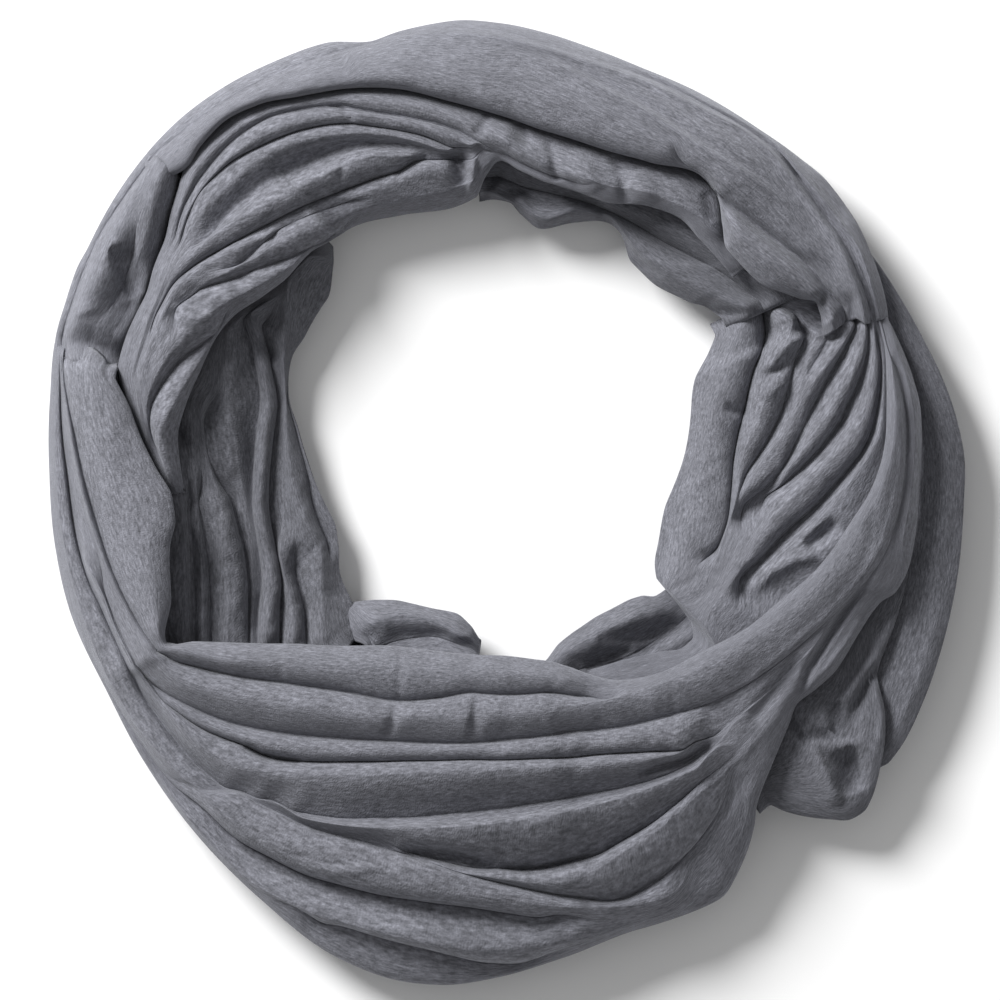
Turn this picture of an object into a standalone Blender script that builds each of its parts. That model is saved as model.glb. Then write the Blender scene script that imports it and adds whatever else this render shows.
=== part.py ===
"""Infinity scarf of heather grey jersey, wound twice into a ring and laid flat.

The loop lies on a table in two turns. Each stretch that shows is a thin wall of its own, worked out
from a short table: the line of its outer edge, the line of its inner edge, the folds between them and
the heights of a few cross-sections. What lies under all of them is one low solid with layered edges.

Fold lines are given by a few points in photo pixels, x to the right and y down. PIXEL turns them into
metres. All lines run round the ring, so a line is a distance from HUB that changes with the angle.
"""
import math
from collections import namedtuple

import bmesh
import bpy
import numpy as np
from mathutils import Vector

MM = 0.001
PIXEL = 0.412 * MM          # length on the real scarf of one photo pixel
HUB = (507, 430)            # middle of the hole, in photo pixels
ORIGIN = (507, 503)         # middle of the whole ring, in photo pixels

WALL = 1.5                  # mm, thickness of the cloth walls
SEAT_GAP = 0.3              # mm, from a wall's foot to what it rests on
OUTER_HEAP = 14.0           # mm, height of the hidden layers at the outside
HOLE_HEAP = 9.5             # mm, and round the hole
OUTER_FOOT = OUTER_HEAP + SEAT_GAP
HOLE_FOOT = HOLE_HEAP + SEAT_GAP

FADE = 7.0                  # degrees over which a fold comes and goes
STEEPEST = 0.5              # most that a fold rises, as a share of the room beside it
LEAST_ROOM = 2.2            # mm between two neighbouring fold lines
MANY_FOLDS = 7              # a stretch with more has no rings of points between its fold lines
CURL_STEPS = 2              # rings of points from an edge down to its foot
HEAP_STATIONS = 56          # cross-sections of the hidden layers
SHARP_ABOVE = 28            # degrees between faces above which an edge is shaded sharp

HOLD = 1e4                  # pull of a fold that shows towards its own line, in place of its neighbours
LOOSE = 1e-3                # the same pull where the fold is gone
NEAREST_EDGE = 0.02         # least share of the way across at which a fold lies from an edge
DROOP_LEAST = 4.0           # degrees over which an end droops, at the least
DROOP_SHARE = 0.04          # and as a share of the stretch

LAYERS = 3                  # folded edges that show on the flanks of the hidden layers
OUTER_INSET = 5.0           # mm, from the ring's outline in to the hidden layers
HOLE_INSET = 4.0            # mm, and from the edge of the hole
STEP_BACK = (1.6, 0.0, 0.5)  # mm, how far each layer stands back, from the lowest up
OUTER_GROOVE = 1.5          # mm, depth of the grooves between the layers
HOLE_GROOVE = 1.2
SHOULDER = 2.2              # mm, from the top layer's edge to the flat top
HEAP_STEP = (0.55, 0.45)    # shares of the way out between which the top steps down

HEATHER = (0.205, 0.214, 0.235, 1.0)
ROUGHNESS = 0.9

# A cross-section: heights in mm of the outer edge, its foot, how far the foot is tucked in, the rise
# of the arch between the edges, and the same three for the inner edge.
Section = namedtuple("Section", "angle z_out foot_out tuck_out crown z_in foot_in tuck_in")
# A fold: rise in mm, positive on a ridge; how crisp its crease is, from 0 to 1; points in pixels.
Fold = namedtuple("Fold", "name rise crisp points")
# A stretch: angles of its ends, cross-sections to build, mm that it slips under its neighbours at the
# outer and inner edge, mm that its two ends droop, edges in pixels, sections and folds.
Stretch = namedtuple("Stretch", "name start end steps slip_out slip_in droop outer inner sections folds")

FRONT_SWEEP = Stretch(
    "front_sweep", 169.5, 376.3, 34, 0, 0, (12, 0),
    outer=((54, 340), (49, 400), (48, 460), (54, 545), (72, 620), (100, 680), (142, 760), (200, 840),
           (260, 900), (340, 960), (400, 982), (440, 986), (500, 978), (560, 960), (640, 930), (700, 910),
           (720, 900), (740, 870), (755, 825), (757, 805), (770, 770), (790, 722), (798, 703), (815, 690),
           (838, 668), (855, 640), (866, 622), (880, 603), (905, 588), (915, 545), (920, 480), (922, 410),
           (915, 385), (900, 350), (885, 320)),
    inner=((118, 366), (130, 405), (143, 440), (157, 468), (173, 497), (176, 520), (171, 545), (172, 600),
           (168, 643), (195, 641), (260, 643), (310, 644), (400, 646), (450, 652), (500, 655), (545, 660),
           (590, 690), (630, 681), (665, 670), (700, 652), (750, 625), (780, 600), (815, 570), (832, 545),
           (850, 515), (868, 490), (885, 440), (890, 410), (882, 360), (862, 325)),
    sections=(
        Section(169, 20, OUTER_FOOT, 9, 8, 41, 30, 4),
        Section(195, 19, OUTER_FOOT, 9, 10, 43, 31, 4),
        Section(212, 18, OUTER_FOOT, 9, 11, 44, 31, 4),
        Section(235, 18, OUTER_FOOT, 9, 14, 45, 31, 5),
        Section(263.6, 18, OUTER_FOOT, 9, 15, 45, 30, 5),
        Section(267, 18, OUTER_FOOT, 9, 15, 45, 10, 6),
        Section(277.5, 18, OUTER_FOOT, 9, 15, 45, 10, 6),
        Section(280.3, 18, OUTER_FOOT, 9, 14, 44, 30, 5),
        Section(298, 19, OUTER_FOOT, 9, 13, 43, 31, 5),
        Section(306, 29, 26.5, 4, 8, 41, 31, 4),
        Section(337, 29, 26.5, 4, 7, 40, 31, 4),
        Section(348, 27, 23.5, 4, 7, 39, 31, 4),
        Section(362, 27, 23.5, 4, 7, 38, 31, 4),
        Section(376, 27, 23.5, 4, 4, 36, 31, 3),
    ),
    folds=(
        Fold("lobe_crease", -4, 0.6, ((848, 606), (835, 632), (815, 660), (802, 690))),
        Fold("right_ridge", 3, 0, ((882, 345), (901, 420), (898, 480), (888, 530), (850, 600), (815, 650),
                                   (785, 700))),
        Fold("bottom_crease", -3, 0.4, ((310, 932), (360, 934), (400, 946), (480, 964), (520, 967))),
        Fold("bottom_roll", 3, 0, ((180, 800), (220, 838), (260, 865), (300, 892), (350, 914), (400, 928),
                                   (450, 940), (500, 948), (560, 935), (640, 915))),
        Fold("sixth_crease", -4, 0.5, ((118, 706), (145, 745), (180, 782), (220, 812), (260, 838), (300, 866),
                                       (360, 885), (430, 899), (500, 907), (540, 912))),
        Fold("sixth_roll", 4, 0, ((240, 808), (300, 842), (360, 864), (420, 882), (480, 894), (560, 905))),
        Fold("fan_crease", -5, 0.6, ((264, 804), (300, 822), (340, 836), (400, 855), (440, 871), (480, 884),
                                     (540, 897), (600, 901), (650, 882), (690, 850), (720, 815), (750, 762))),
        Fold("fan_ridge", 3, 0, ((430, 862), (480, 876), (540, 884), (580, 875), (640, 852), (690, 818),
                                 (732, 770))),
        Fold("fourth_crease", -7, 0.8, ((404, 852), (440, 858), (500, 862), (560, 860), (597, 854), (640, 830),
                                        (680, 806), (720, 775), (750, 740), (780, 712))),
        Fold("fourth_roll", 4, 0, ((300, 819), (350, 828), (420, 834), (500, 832), (600, 817), (680, 780),
                                   (740, 728))),
        Fold("third_crease", -6, 0.6, ((61, 400), (62, 480), (72, 540), (85, 580), (103, 620), (120, 655),
                                       (148, 700), (183, 743), (220, 777), (265, 803), (330, 816),
                                       (400, 818), (480, 812), (540, 805), (600, 793), (660, 772),
                                       (708, 750))),
        Fold("third_roll", 4, 0, ((66, 400), (68, 470), (79, 530), (94, 575), (115, 622), (135, 665),
                                  (165, 710), (200, 744), (250, 771), (310, 786), (400, 784), (500, 779),
                                  (600, 769), (690, 750))),
        Fold("slit_crease", -7, 0.8, ((145, 678), (165, 698), (200, 727), (250, 751), (310, 762), (400, 761),
                                      (500, 759), (560, 757), (640, 750), (708, 742))),
        Fold("second_roll", 2, 0, ((190, 715), (230, 735), (310, 749), (400, 751), (500, 749), (600, 740),
                                   (690, 726))),
        Fold("second_crease", -5, 0.5, ((155, 686), (190, 708), (225, 722), (280, 731), (350, 740), (400, 742),
                                        (480, 741), (560, 733), (620, 728), (700, 707), (750, 683),
                                        (800, 650), (835, 615), (860, 588))),
        Fold("first_roll", 4, 0, ((150, 664), (200, 690), (300, 709), (400, 720), (500, 716), (600, 709),
                                  (700, 680), (780, 630), (835, 580), (868, 530), (885, 480), (896, 420),
                                  (880, 345))),
        Fold("panel_crease", -5, 0.7, ((66, 365), (70, 410), (80, 460), (97, 520), (120, 585), (143, 625),
                                       (166, 656), (210, 669), (260, 678), (310, 686), (400, 700),
                                       (475, 692), (540, 692), (592, 699))),
        Fold("panel", 3, 0, ((92, 390), (110, 455), (138, 540), (150, 600), (162, 645), (200, 655),
                             (300, 665), (400, 672), (500, 674), (560, 677))),
    ),
)

TOP_BAND = Stretch(
    "top_band", 16.9, 143.2, 24, 0, 0, (0, 8),
    outer=((885, 320), (876, 293), (868, 268), (860, 243), (850, 214), (825, 180), (800, 157), (750, 122),
           (700, 92), (650, 70), (600, 50), (550, 33), (500, 22), (450, 20), (400, 30), (375, 39), (325, 42),
           (275, 60), (225, 85), (175, 122), (148, 150)),
    inner=((862, 325), (845, 325), (824, 320), (820, 303), (800, 300), (775, 300), (755, 288), (742, 272),
           (727, 250), (722, 225), (716, 195), (700, 176), (650, 163), (600, 149), (550, 133), (500, 116),
           (450, 102), (400, 90), (350, 89), (300, 97), (260, 105), (220, 126), (200, 148), (190, 165),
           (172, 176), (158, 170)),
    sections=(
        Section(16, 27, 23.5, 4, 4, 36, 31, 3),
        Section(24, 27, 23.5, 4, 6, 37, 31, 4),
        Section(30.5, 24, 22, 6, 8, 37, 31, 4),
        Section(34, 20, OUTER_FOOT, 9, 11, 38, 31, 4),
        Section(52, 19, OUTER_FOOT, 9, 14, 39, 31, 4),
        Section(90, 18, OUTER_FOOT, 9, 15, 39, 27, 4),
        Section(125, 18, OUTER_FOOT, 9, 14, 38, 26, 4),
        Section(143, 18, OUTER_FOOT, 9, 11, 33, 22, 4),
    ),
    folds=(
        Fold("edge_crease", -3, 0.4, ((340, 50), (300, 62), (250, 85), (200, 118), (160, 148))),
        Fold("outer_ridge", 4, 0, ((882, 335), (870, 296), (846, 242), (825, 210), (790, 176), (760, 143),
                                   (700, 108), (650, 84), (600, 66), (550, 50), (500, 38), (440, 34),
                                   (390, 42))),
        Fold("outer_crease", -2, 0.2, ((866, 310), (842, 262), (812, 222), (775, 172), (720, 136), (650, 98),
                                       (590, 74), (540, 56))),
        Fold("long_ridge", 3, 0, ((860, 300), (830, 252), (790, 208), (750, 177), (700, 147), (650, 114),
                                  (600, 88), (530, 56))),
        Fold("band_crease", -5, 0.5, ((846, 322), (825, 293), (800, 262), (775, 245), (740, 213),
                                      (718, 192))),
        Fold("inner_ridge", 4, 0, ((835, 315), (810, 290), (770, 268), (735, 235), (716, 205))),
    ),
)

LEFT_POUCH = Stretch(
    "left_pouch", 143.7, 169.0, 9, 0, 0, (8, 12),
    outer=((148, 150), (112, 200), (88, 245), (75, 270), (65, 300), (54, 340)),
    inner=((164, 172), (161, 200), (157, 225), (150, 255), (144, 275), (135, 297), (128, 320), (120, 364)),
    sections=(
        Section(143, 18, OUTER_FOOT, 9, 11, 33, 21, 4),
        Section(156, 18, OUTER_FOOT, 9, 10, 35, 22, 4),
        Section(170, 19, OUTER_FOOT, 9, 9, 36, 24, 4),
    ),
    folds=(
        Fold("edge_crease", -3, 0.4, ((137, 175), (112, 214), (94, 246), (80, 278))),
        Fold("pouch_ridge", 4, 0, ((150, 178), (130, 215), (108, 255), (90, 300), (78, 330))),
        Fold("dimple", -6, 0.6, ((124, 258), (122, 278), (118, 300))),
        Fold("side_ridge", 3, 0, ((156, 180), (148, 225), (137, 262), (126, 300), (112, 345))),
    ),
)

INNER_ARC = Stretch(
    "inner_arc", 34.0, 191.0, 28, 0, 0, (3, 6),
    outer=((740, 274), (724, 251), (718, 225), (712, 197), (697, 180), (650, 167), (600, 153), (550, 137), (500, 120), (450, 106),
           (400, 94), (350, 93), (300, 101), (262, 109), (223, 130), (205, 150), (192, 168), (183, 195),
           (177, 215), (170, 245), (160, 270), (153, 295), (143, 315), (132, 340), (126, 366), (136, 398),
           (148, 428), (160, 458), (176, 492)),
    inner=((737, 283), (715, 256), (700, 240), (684, 222), (650, 207), (600, 200), (550, 182), (500, 158), (484, 178), (476, 197), (450, 208),
           (400, 215), (350, 228), (332, 240), (310, 253), (290, 275), (265, 295), (232, 318), (215, 340),
           (200, 372), (186, 405), (178, 440), (182, 475), (186, 500)),
    sections=(
        Section(34, 31, 28.5, 1.5, 0.5, 30, 28, 1.5),
        Section(48, 33, 28, 3, 2, 31, 27, 2),
        Section(70, 37, 27, 4, 3, 31, 27, 3),
        Section(90, 38, 26, 4, 4, 31, 27, 3),
        Section(97.2, 38, 26, 4, 5, 30, 26, 3),
        Section(99.8, 38, 26, 4, 6, 17, HOLE_FOOT, 6),
        Section(130, 37, 24, 4, 8, 17, HOLE_FOOT, 6),
        Section(132.8, 36, 24, 4, 5, 30, 28, 2),
        Section(160, 37, 24, 4, 4, 32, 28, 3),
        Section(175, 37, 27, 4, 3, 32, 28, 3),
        Section(191, 34, 28, 3, 2, 30, 28, 2),
    ),
    folds=(
        Fold("first_roll", 3, 0, ((690, 192), (650, 178), (600, 165), (550, 148), (500, 130), (450, 115),
                                  (400, 101), (350, 98), (300, 105), (255, 121), (220, 145), (195, 175),
                                  (178, 220))),
        Fold("first_crease", -4, 0.6, ((500, 148), (460, 133), (425, 120), (375, 110), (325, 106), (275, 117),
                                       (235, 138), (205, 170), (187, 200))),
        Fold("second_roll", 3, 0, ((470, 146), (425, 128), (375, 119), (325, 114), (275, 127), (235, 150),
                                   (200, 190), (180, 232))),
        Fold("second_crease", -4, 0.6, ((455, 150), (425, 135), (380, 128), (325, 127), (275, 140),
                                        (230, 167), (198, 205))),
        Fold("third_roll", 3, 0, ((440, 148), (380, 140), (320, 136), (270, 152), (225, 185), (190, 225),
                                  (165, 275), (148, 325), (133, 372))),
        Fold("hollow", -5, 0, ((400, 148), (340, 152), (290, 165), (245, 190), (212, 222))),
        Fold("broad_roll", 5, 0, ((395, 162), (350, 166), (300, 188), (250, 214), (200, 254), (172, 290),
                                  (150, 340), (136, 385), (141, 410))),
        Fold("fourth_crease", -6, 0.8, ((470, 166), (425, 162), (375, 180), (330, 198), (262, 228),
                                        (220, 255), (180, 280), (166, 302), (155, 340))),
        Fold("fifth_roll", 4, 0, ((462, 184), (430, 184), (380, 198), (330, 212), (275, 230), (225, 266),
                                  (176, 300), (160, 345), (148, 395))),
        Fold("tip_crease", -5, 0.7, ((300, 250), (250, 272), (200, 296), (180, 310), (205, 336), (172, 372),
                                     (152, 410))),
        Fold("tip_roll", 3, 0, ((290, 262), (250, 290), (215, 320), (197, 355), (178, 390), (165, 425),
                                (162, 450), (176, 490))),
    ),
)

LEFT_INNER = Stretch(
    "left_inner", 133.4, 234.0, 20, 0, 0, (2, 0),
    outer=((324, 240), (302, 252), (280, 276), (250, 296), (215, 322), (190, 365), (162, 420), (160, 470), (155, 510),
           (150, 560), (153, 620), (172, 668), (240, 670), (300, 668), (345, 668)),
    inner=((333, 242), (333, 265), (326, 300), (305, 335), (292, 356), (288, 392), (298, 430),
           (312, 475), (333, 520), (338, 545), (340, 575), (353, 605), (356, 622), (358, 645)),
    sections=(
        Section(133, 22, 17, 2, 1, 15, HOLE_FOOT, 6),
        Section(145, 25, 17, 3, 2, 15, HOLE_FOOT, 6),
        Section(175, 26, 17, 3, 3, 15, HOLE_FOOT, 6),
        Section(212, 26, 17, 3, 3, 15, HOLE_FOOT, 6),
        Section(234, 24, 17, 3, 3, 16, HOLE_FOOT, 6),
    ),
    folds=(
        Fold("left_ridge", 2, 0, ((186, 440), (180, 520), (180, 590), (186, 650))),
        Fold("left_crease", -4, 0.5, ((178, 436), (187, 490), (186, 545), (191, 590), (191, 655))),
        Fold("middle_ridge", 2, 0, ((196, 430), (201, 500), (203, 560), (205, 650))),
        Fold("middle_crease", -4, 0.5, ((202, 430), (216, 480), (228, 500), (240, 545), (248, 590),
                                        (262, 655))),
        Fold("flat_panel", 2, 0, ((235, 320), (235, 400), (242, 480), (252, 540), (258, 590))),
        Fold("bright_ridge", 5, 0, ((258, 315), (262, 350), (266, 430), (261, 500), (266, 555), (272, 600),
                                    (270, 655))),
        Fold("ridge_foot", -3, 0.4, ((264, 340), (272, 400), (272, 450), (270, 510), (282, 570), (296, 655))),
        Fold("hole_roll", 3, 0, ((312, 250), (306, 290), (285, 340), (280, 392), (290, 440), (308, 500),
                                 (322, 560), (338, 600), (340, 655))),
    ),
)

RIGHT_INNER = Stretch(
    "right_inner", -63.0, 26.0, 20, 0, 0, (0, 3),
    outer=((612, 690), (660, 690), (705, 672), (755, 645), (800, 607), (838, 575), (858, 540), (876, 510),
           (888, 470), (893, 430), (892, 390), (880, 350), (868, 322), (835, 300), (810, 284)),
    inner=((580, 672), (620, 661), (660, 651), (684, 645), (681, 632), (672, 612), (660, 593), (654, 578),
           (657, 550), (668, 500), (686, 450), (692, 400), (695, 380), (710, 350), (716, 335)),
    sections=(
        Section(-63, 26, 17, 3, 1, 22, 18, 2),
        Section(-51, 27, 17, 3, 1, 20, 16, 3),
        Section(-42, 27, 17, 3, 2, 15, HOLE_FOOT, 6),
        Section(26, 27, 17, 3, 3, 15, HOLE_FOOT, 6),
    ),
    folds=(
        Fold("outer_ridge", 2, 0, ((870, 330), (876, 400), (862, 460), (828, 520), (790, 565), (750, 610),
                                   (705, 650))),
        Fold("outer_crease", -5, 0.6, ((862, 340), (872, 420), (850, 470), (825, 500), (790, 535), (760, 562),
                                       (740, 590))),
        Fold("third_ridge", 3, 0, ((856, 330), (860, 400), (840, 445), (800, 485), (765, 530), (735, 575),
                                   (700, 620))),
        Fold("third_crease", -4, 0.6, ((850, 335), (850, 385), (830, 430), (808, 462), (785, 480),
                                       (760, 500))),
        Fold("second_ridge", 4, 0, ((832, 322), (832, 350), (812, 390), (795, 430), (770, 470), (745, 505),
                                    (725, 560))),
        Fold("second_crease", -5, 0.6, ((806, 340), (788, 395), (770, 440), (748, 478), (738, 520))),
        Fold("first_ridge", 5, 0, ((788, 318), (772, 350), (756, 400), (746, 440), (738, 490), (728, 540),
                                   (705, 590))),
        Fold("first_crease", -5, 0.6, ((764, 316), (756, 365), (742, 410), (731, 450), (728, 520),
                                       (714, 560))),
        Fold("hole_roll", 3, 0, ((745, 320), (730, 360), (712, 410), (704, 470), (690, 530), (678, 580),
                                 (690, 610))),
    ),
)

TOP_INNER = Stretch(
    "top_inner", 26.8, 96.6, 14, 0, 0, (3, 0),
    outer=((790, 287), (765, 268), (730, 238), (700, 208), (660, 190), (600, 180), (550, 163), (500, 145),
           (480, 150)),
    inner=((722, 318), (705, 306), (690, 302), (650, 280), (632, 262), (620, 232), (610, 223),
           (575, 222), (540, 228), (520, 213), (510, 202), (490, 199), (480, 201)),
    sections=(
        Section(26, 23, 16, 3, 1, 17, HOLE_FOOT, 5),
        Section(40, 23, 16, 3, 2, 15, HOLE_FOOT, 6),
        Section(75, 22, 16, 3, 2, 15, HOLE_FOOT, 6),
        Section(97, 20, 14, 3, 1, 14, HOLE_FOOT, 4),
    ),
    folds=(
        Fold("back_ridge", 2, 0, ((745, 268), (705, 245), (660, 226), (600, 200), (545, 183), (495, 165))),
        Fold("back_crease", -4, 0.5, ((738, 278), (700, 262), (655, 243), (600, 210), (560, 202), (530, 195),
                                      (498, 180))),
        Fold("edge_roll", 3, 0, ((738, 300), (700, 285), (655, 262), (628, 228), (575, 212), (540, 218),
                                 (518, 205), (488, 190))),
    ),
)

RIGHT_OUTER = Stretch(
    "right_outer", -42.6, 30.0, 16, 0, 4.5, (3, 0),
    outer=((881, 768), (890, 763), (900, 750), (925, 700), (945, 640), (958, 580), (965, 500), (966, 465),
           (958, 420), (940, 370), (925, 340), (900, 295), (875, 252), (850, 212)),
    inner=((872, 762), (880, 720), (874, 680), (885, 650), (905, 588), (915, 545), (920, 480), (922, 410),
           (915, 385), (900, 350), (885, 320), (876, 293), (862, 250), (840, 215)),
    sections=(
        Section(-43, 17.5, OUTER_FOOT, 9, 1, 17, 16, 1),
        Section(-32, 18, OUTER_FOOT, 9, 2, 18, 16, 2),
        Section(0, 18, OUTER_FOOT, 9, 2, 18, 16, 2),
        Section(30, 18, OUTER_FOOT, 9, 0.5, 18, 16, 2),
    ),
    folds=(
        Fold("outer_ridge", 1, 0, ((893, 735), (930, 640), (944, 540), (945, 460), (925, 380), (896, 310))),
    ),
)

RIGHT_FAN = Stretch(
    "right_fan", -56.6, -19.5, 12, 0, 5.0, (0, 0),
    outer=((759, 816), (770, 806), (785, 812), (805, 817), (830, 820), (852, 820), (865, 812), (872, 800),
           (877, 785), (881, 767), (885, 745), (885, 710), (878, 672), (885, 650), (895, 625), (905, 590),
           (910, 565)),
    inner=((757, 805), (770, 770), (790, 722), (798, 703), (815, 690), (838, 668), (855, 640), (866, 622),
           (880, 603), (893, 585)),
    sections=(
        Section(-57, 18, OUTER_FOOT, 9, 1, 21, 19, 2),
        Section(-46, 18, OUTER_FOOT, 9, 4, 22, 19, 2),
        Section(-41, 23.6, 21.7, 3, 1.5, 22.5, 19.5, 2),
        Section(-19, 23.6, 21.7, 3, 0.5, 22.5, 19.5, 2),
    ),
    folds=(
        Fold("lobe_ridge", 1.5, 0, ((874, 685), (876, 730), (866, 765), (858, 800))),
        Fold("lobe_crease", -2, 0.3, ((866, 682), (858, 712), (848, 745), (838, 785))),
        Fold("fan_ridge", 1, 0, ((884, 625), (868, 668), (850, 692), (828, 732), (812, 752), (824, 780),
                                 (800, 806))),
    ),
)

BOTTOM_LEFT_LOBE = Stretch(
    "bottom_left_lobe", 229.5, 263.0, 9, 0, 0, (0, 0),
    outer=((358, 607), (361, 622), (364, 645), (372, 668), (400, 674), (440, 672), (478, 666)),
    inner=((360, 603), (375, 600), (400, 601), (430, 608), (455, 613), (470, 625), (480, 640)),
    sections=(
        Section(229.5, 15, 12, 1, 1, 14, HOLE_FOOT, 1.5),
        Section(236, 21, 16, 3, 2, 15, HOLE_FOOT, 8),
        Section(263, 23, 17, 3, 1, 14, HOLE_FOOT, 8),
    ),
    folds=(
        Fold("lobe_crease", -2, 0.2, ((372, 650), (400, 640), (440, 638), (470, 648))),
        Fold("lobe_roll", 3, 0, ((380, 620), (400, 615), (430, 620), (456, 632))),
    ),
)

BOTTOM_RIGHT_LOBE = Stretch(
    "bottom_right_lobe", 281.0, 310.5, 8, 0, 0, (0, 0),
    outer=((554, 678), (600, 665), (640, 652), (664, 638), (667, 620)),
    inner=((550, 655), (560, 643), (580, 628), (600, 615), (625, 602), (640, 597), (653, 598)),
    sections=(
        Section(281, 23, 17, 3, 1, 14, HOLE_FOOT, 5),
        Section(300, 19, 15, 3, 2, 15, HOLE_FOOT, 6),
        Section(311, 17, 13, 3, 1, 14, HOLE_FOOT, 3),
    ),
    folds=(
        Fold("lobe_roll", 2, 0, ((575, 650), (600, 636), (630, 620), (650, 615))),
    ),
)

STRETCHES = (
    FRONT_SWEEP, TOP_BAND, LEFT_POUCH, INNER_ARC, LEFT_INNER, RIGHT_INNER, TOP_INNER, RIGHT_OUTER,
    RIGHT_FAN, BOTTOM_LEFT_LOBE, BOTTOM_RIGHT_LOBE,
)


def curve_through(xs, ys, at):
    """Smooth curve through the points that never swings past them, and level beyond its ends."""
    order = np.argsort(xs)
    xs = np.asarray(xs, float)[order]
    ys = np.asarray(ys, float)[order]
    step = np.diff(xs)
    rise = np.diff(ys) / step
    slope = np.concatenate(([rise[0]], np.zeros(len(xs) - 2), [rise[-1]]))
    for k in range(1, len(xs) - 1):
        if rise[k - 1] * rise[k] > 0:
            slope[k] = 2 * rise[k - 1] * rise[k] / (rise[k - 1] + rise[k])
    at = np.clip(at, xs[0], xs[-1])
    k = np.clip(np.searchsorted(xs, at, side="right") - 1, 0, len(xs) - 2)
    t = (at - xs[k]) / step[k]
    return ((1 + 2 * t) * (1 - t) ** 2 * ys[k] + t * (1 - t) ** 2 * step[k] * slope[k]
            + t * t * (3 - 2 * t) * ys[k + 1] + t * t * (t - 1) * step[k] * slope[k + 1])


def ease(t):
    """0 to 1 with no corner at either end."""
    t = np.clip(t, 0, 1)
    return t * t * (3 - 2 * t)


def round_hub(points, near):
    """Angles in degrees, within half a turn of near, and distances in mm from HUB of some points."""
    x = np.array([p[0] - HUB[0] for p in points], float)
    y = np.array([HUB[1] - p[1] for p in points], float)
    angle = np.degrees(np.arctan2(y, x))
    angle = (angle - near + 180) % 360 - 180 + near
    return angle, np.hypot(x, y) * PIXEL / MM


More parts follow.
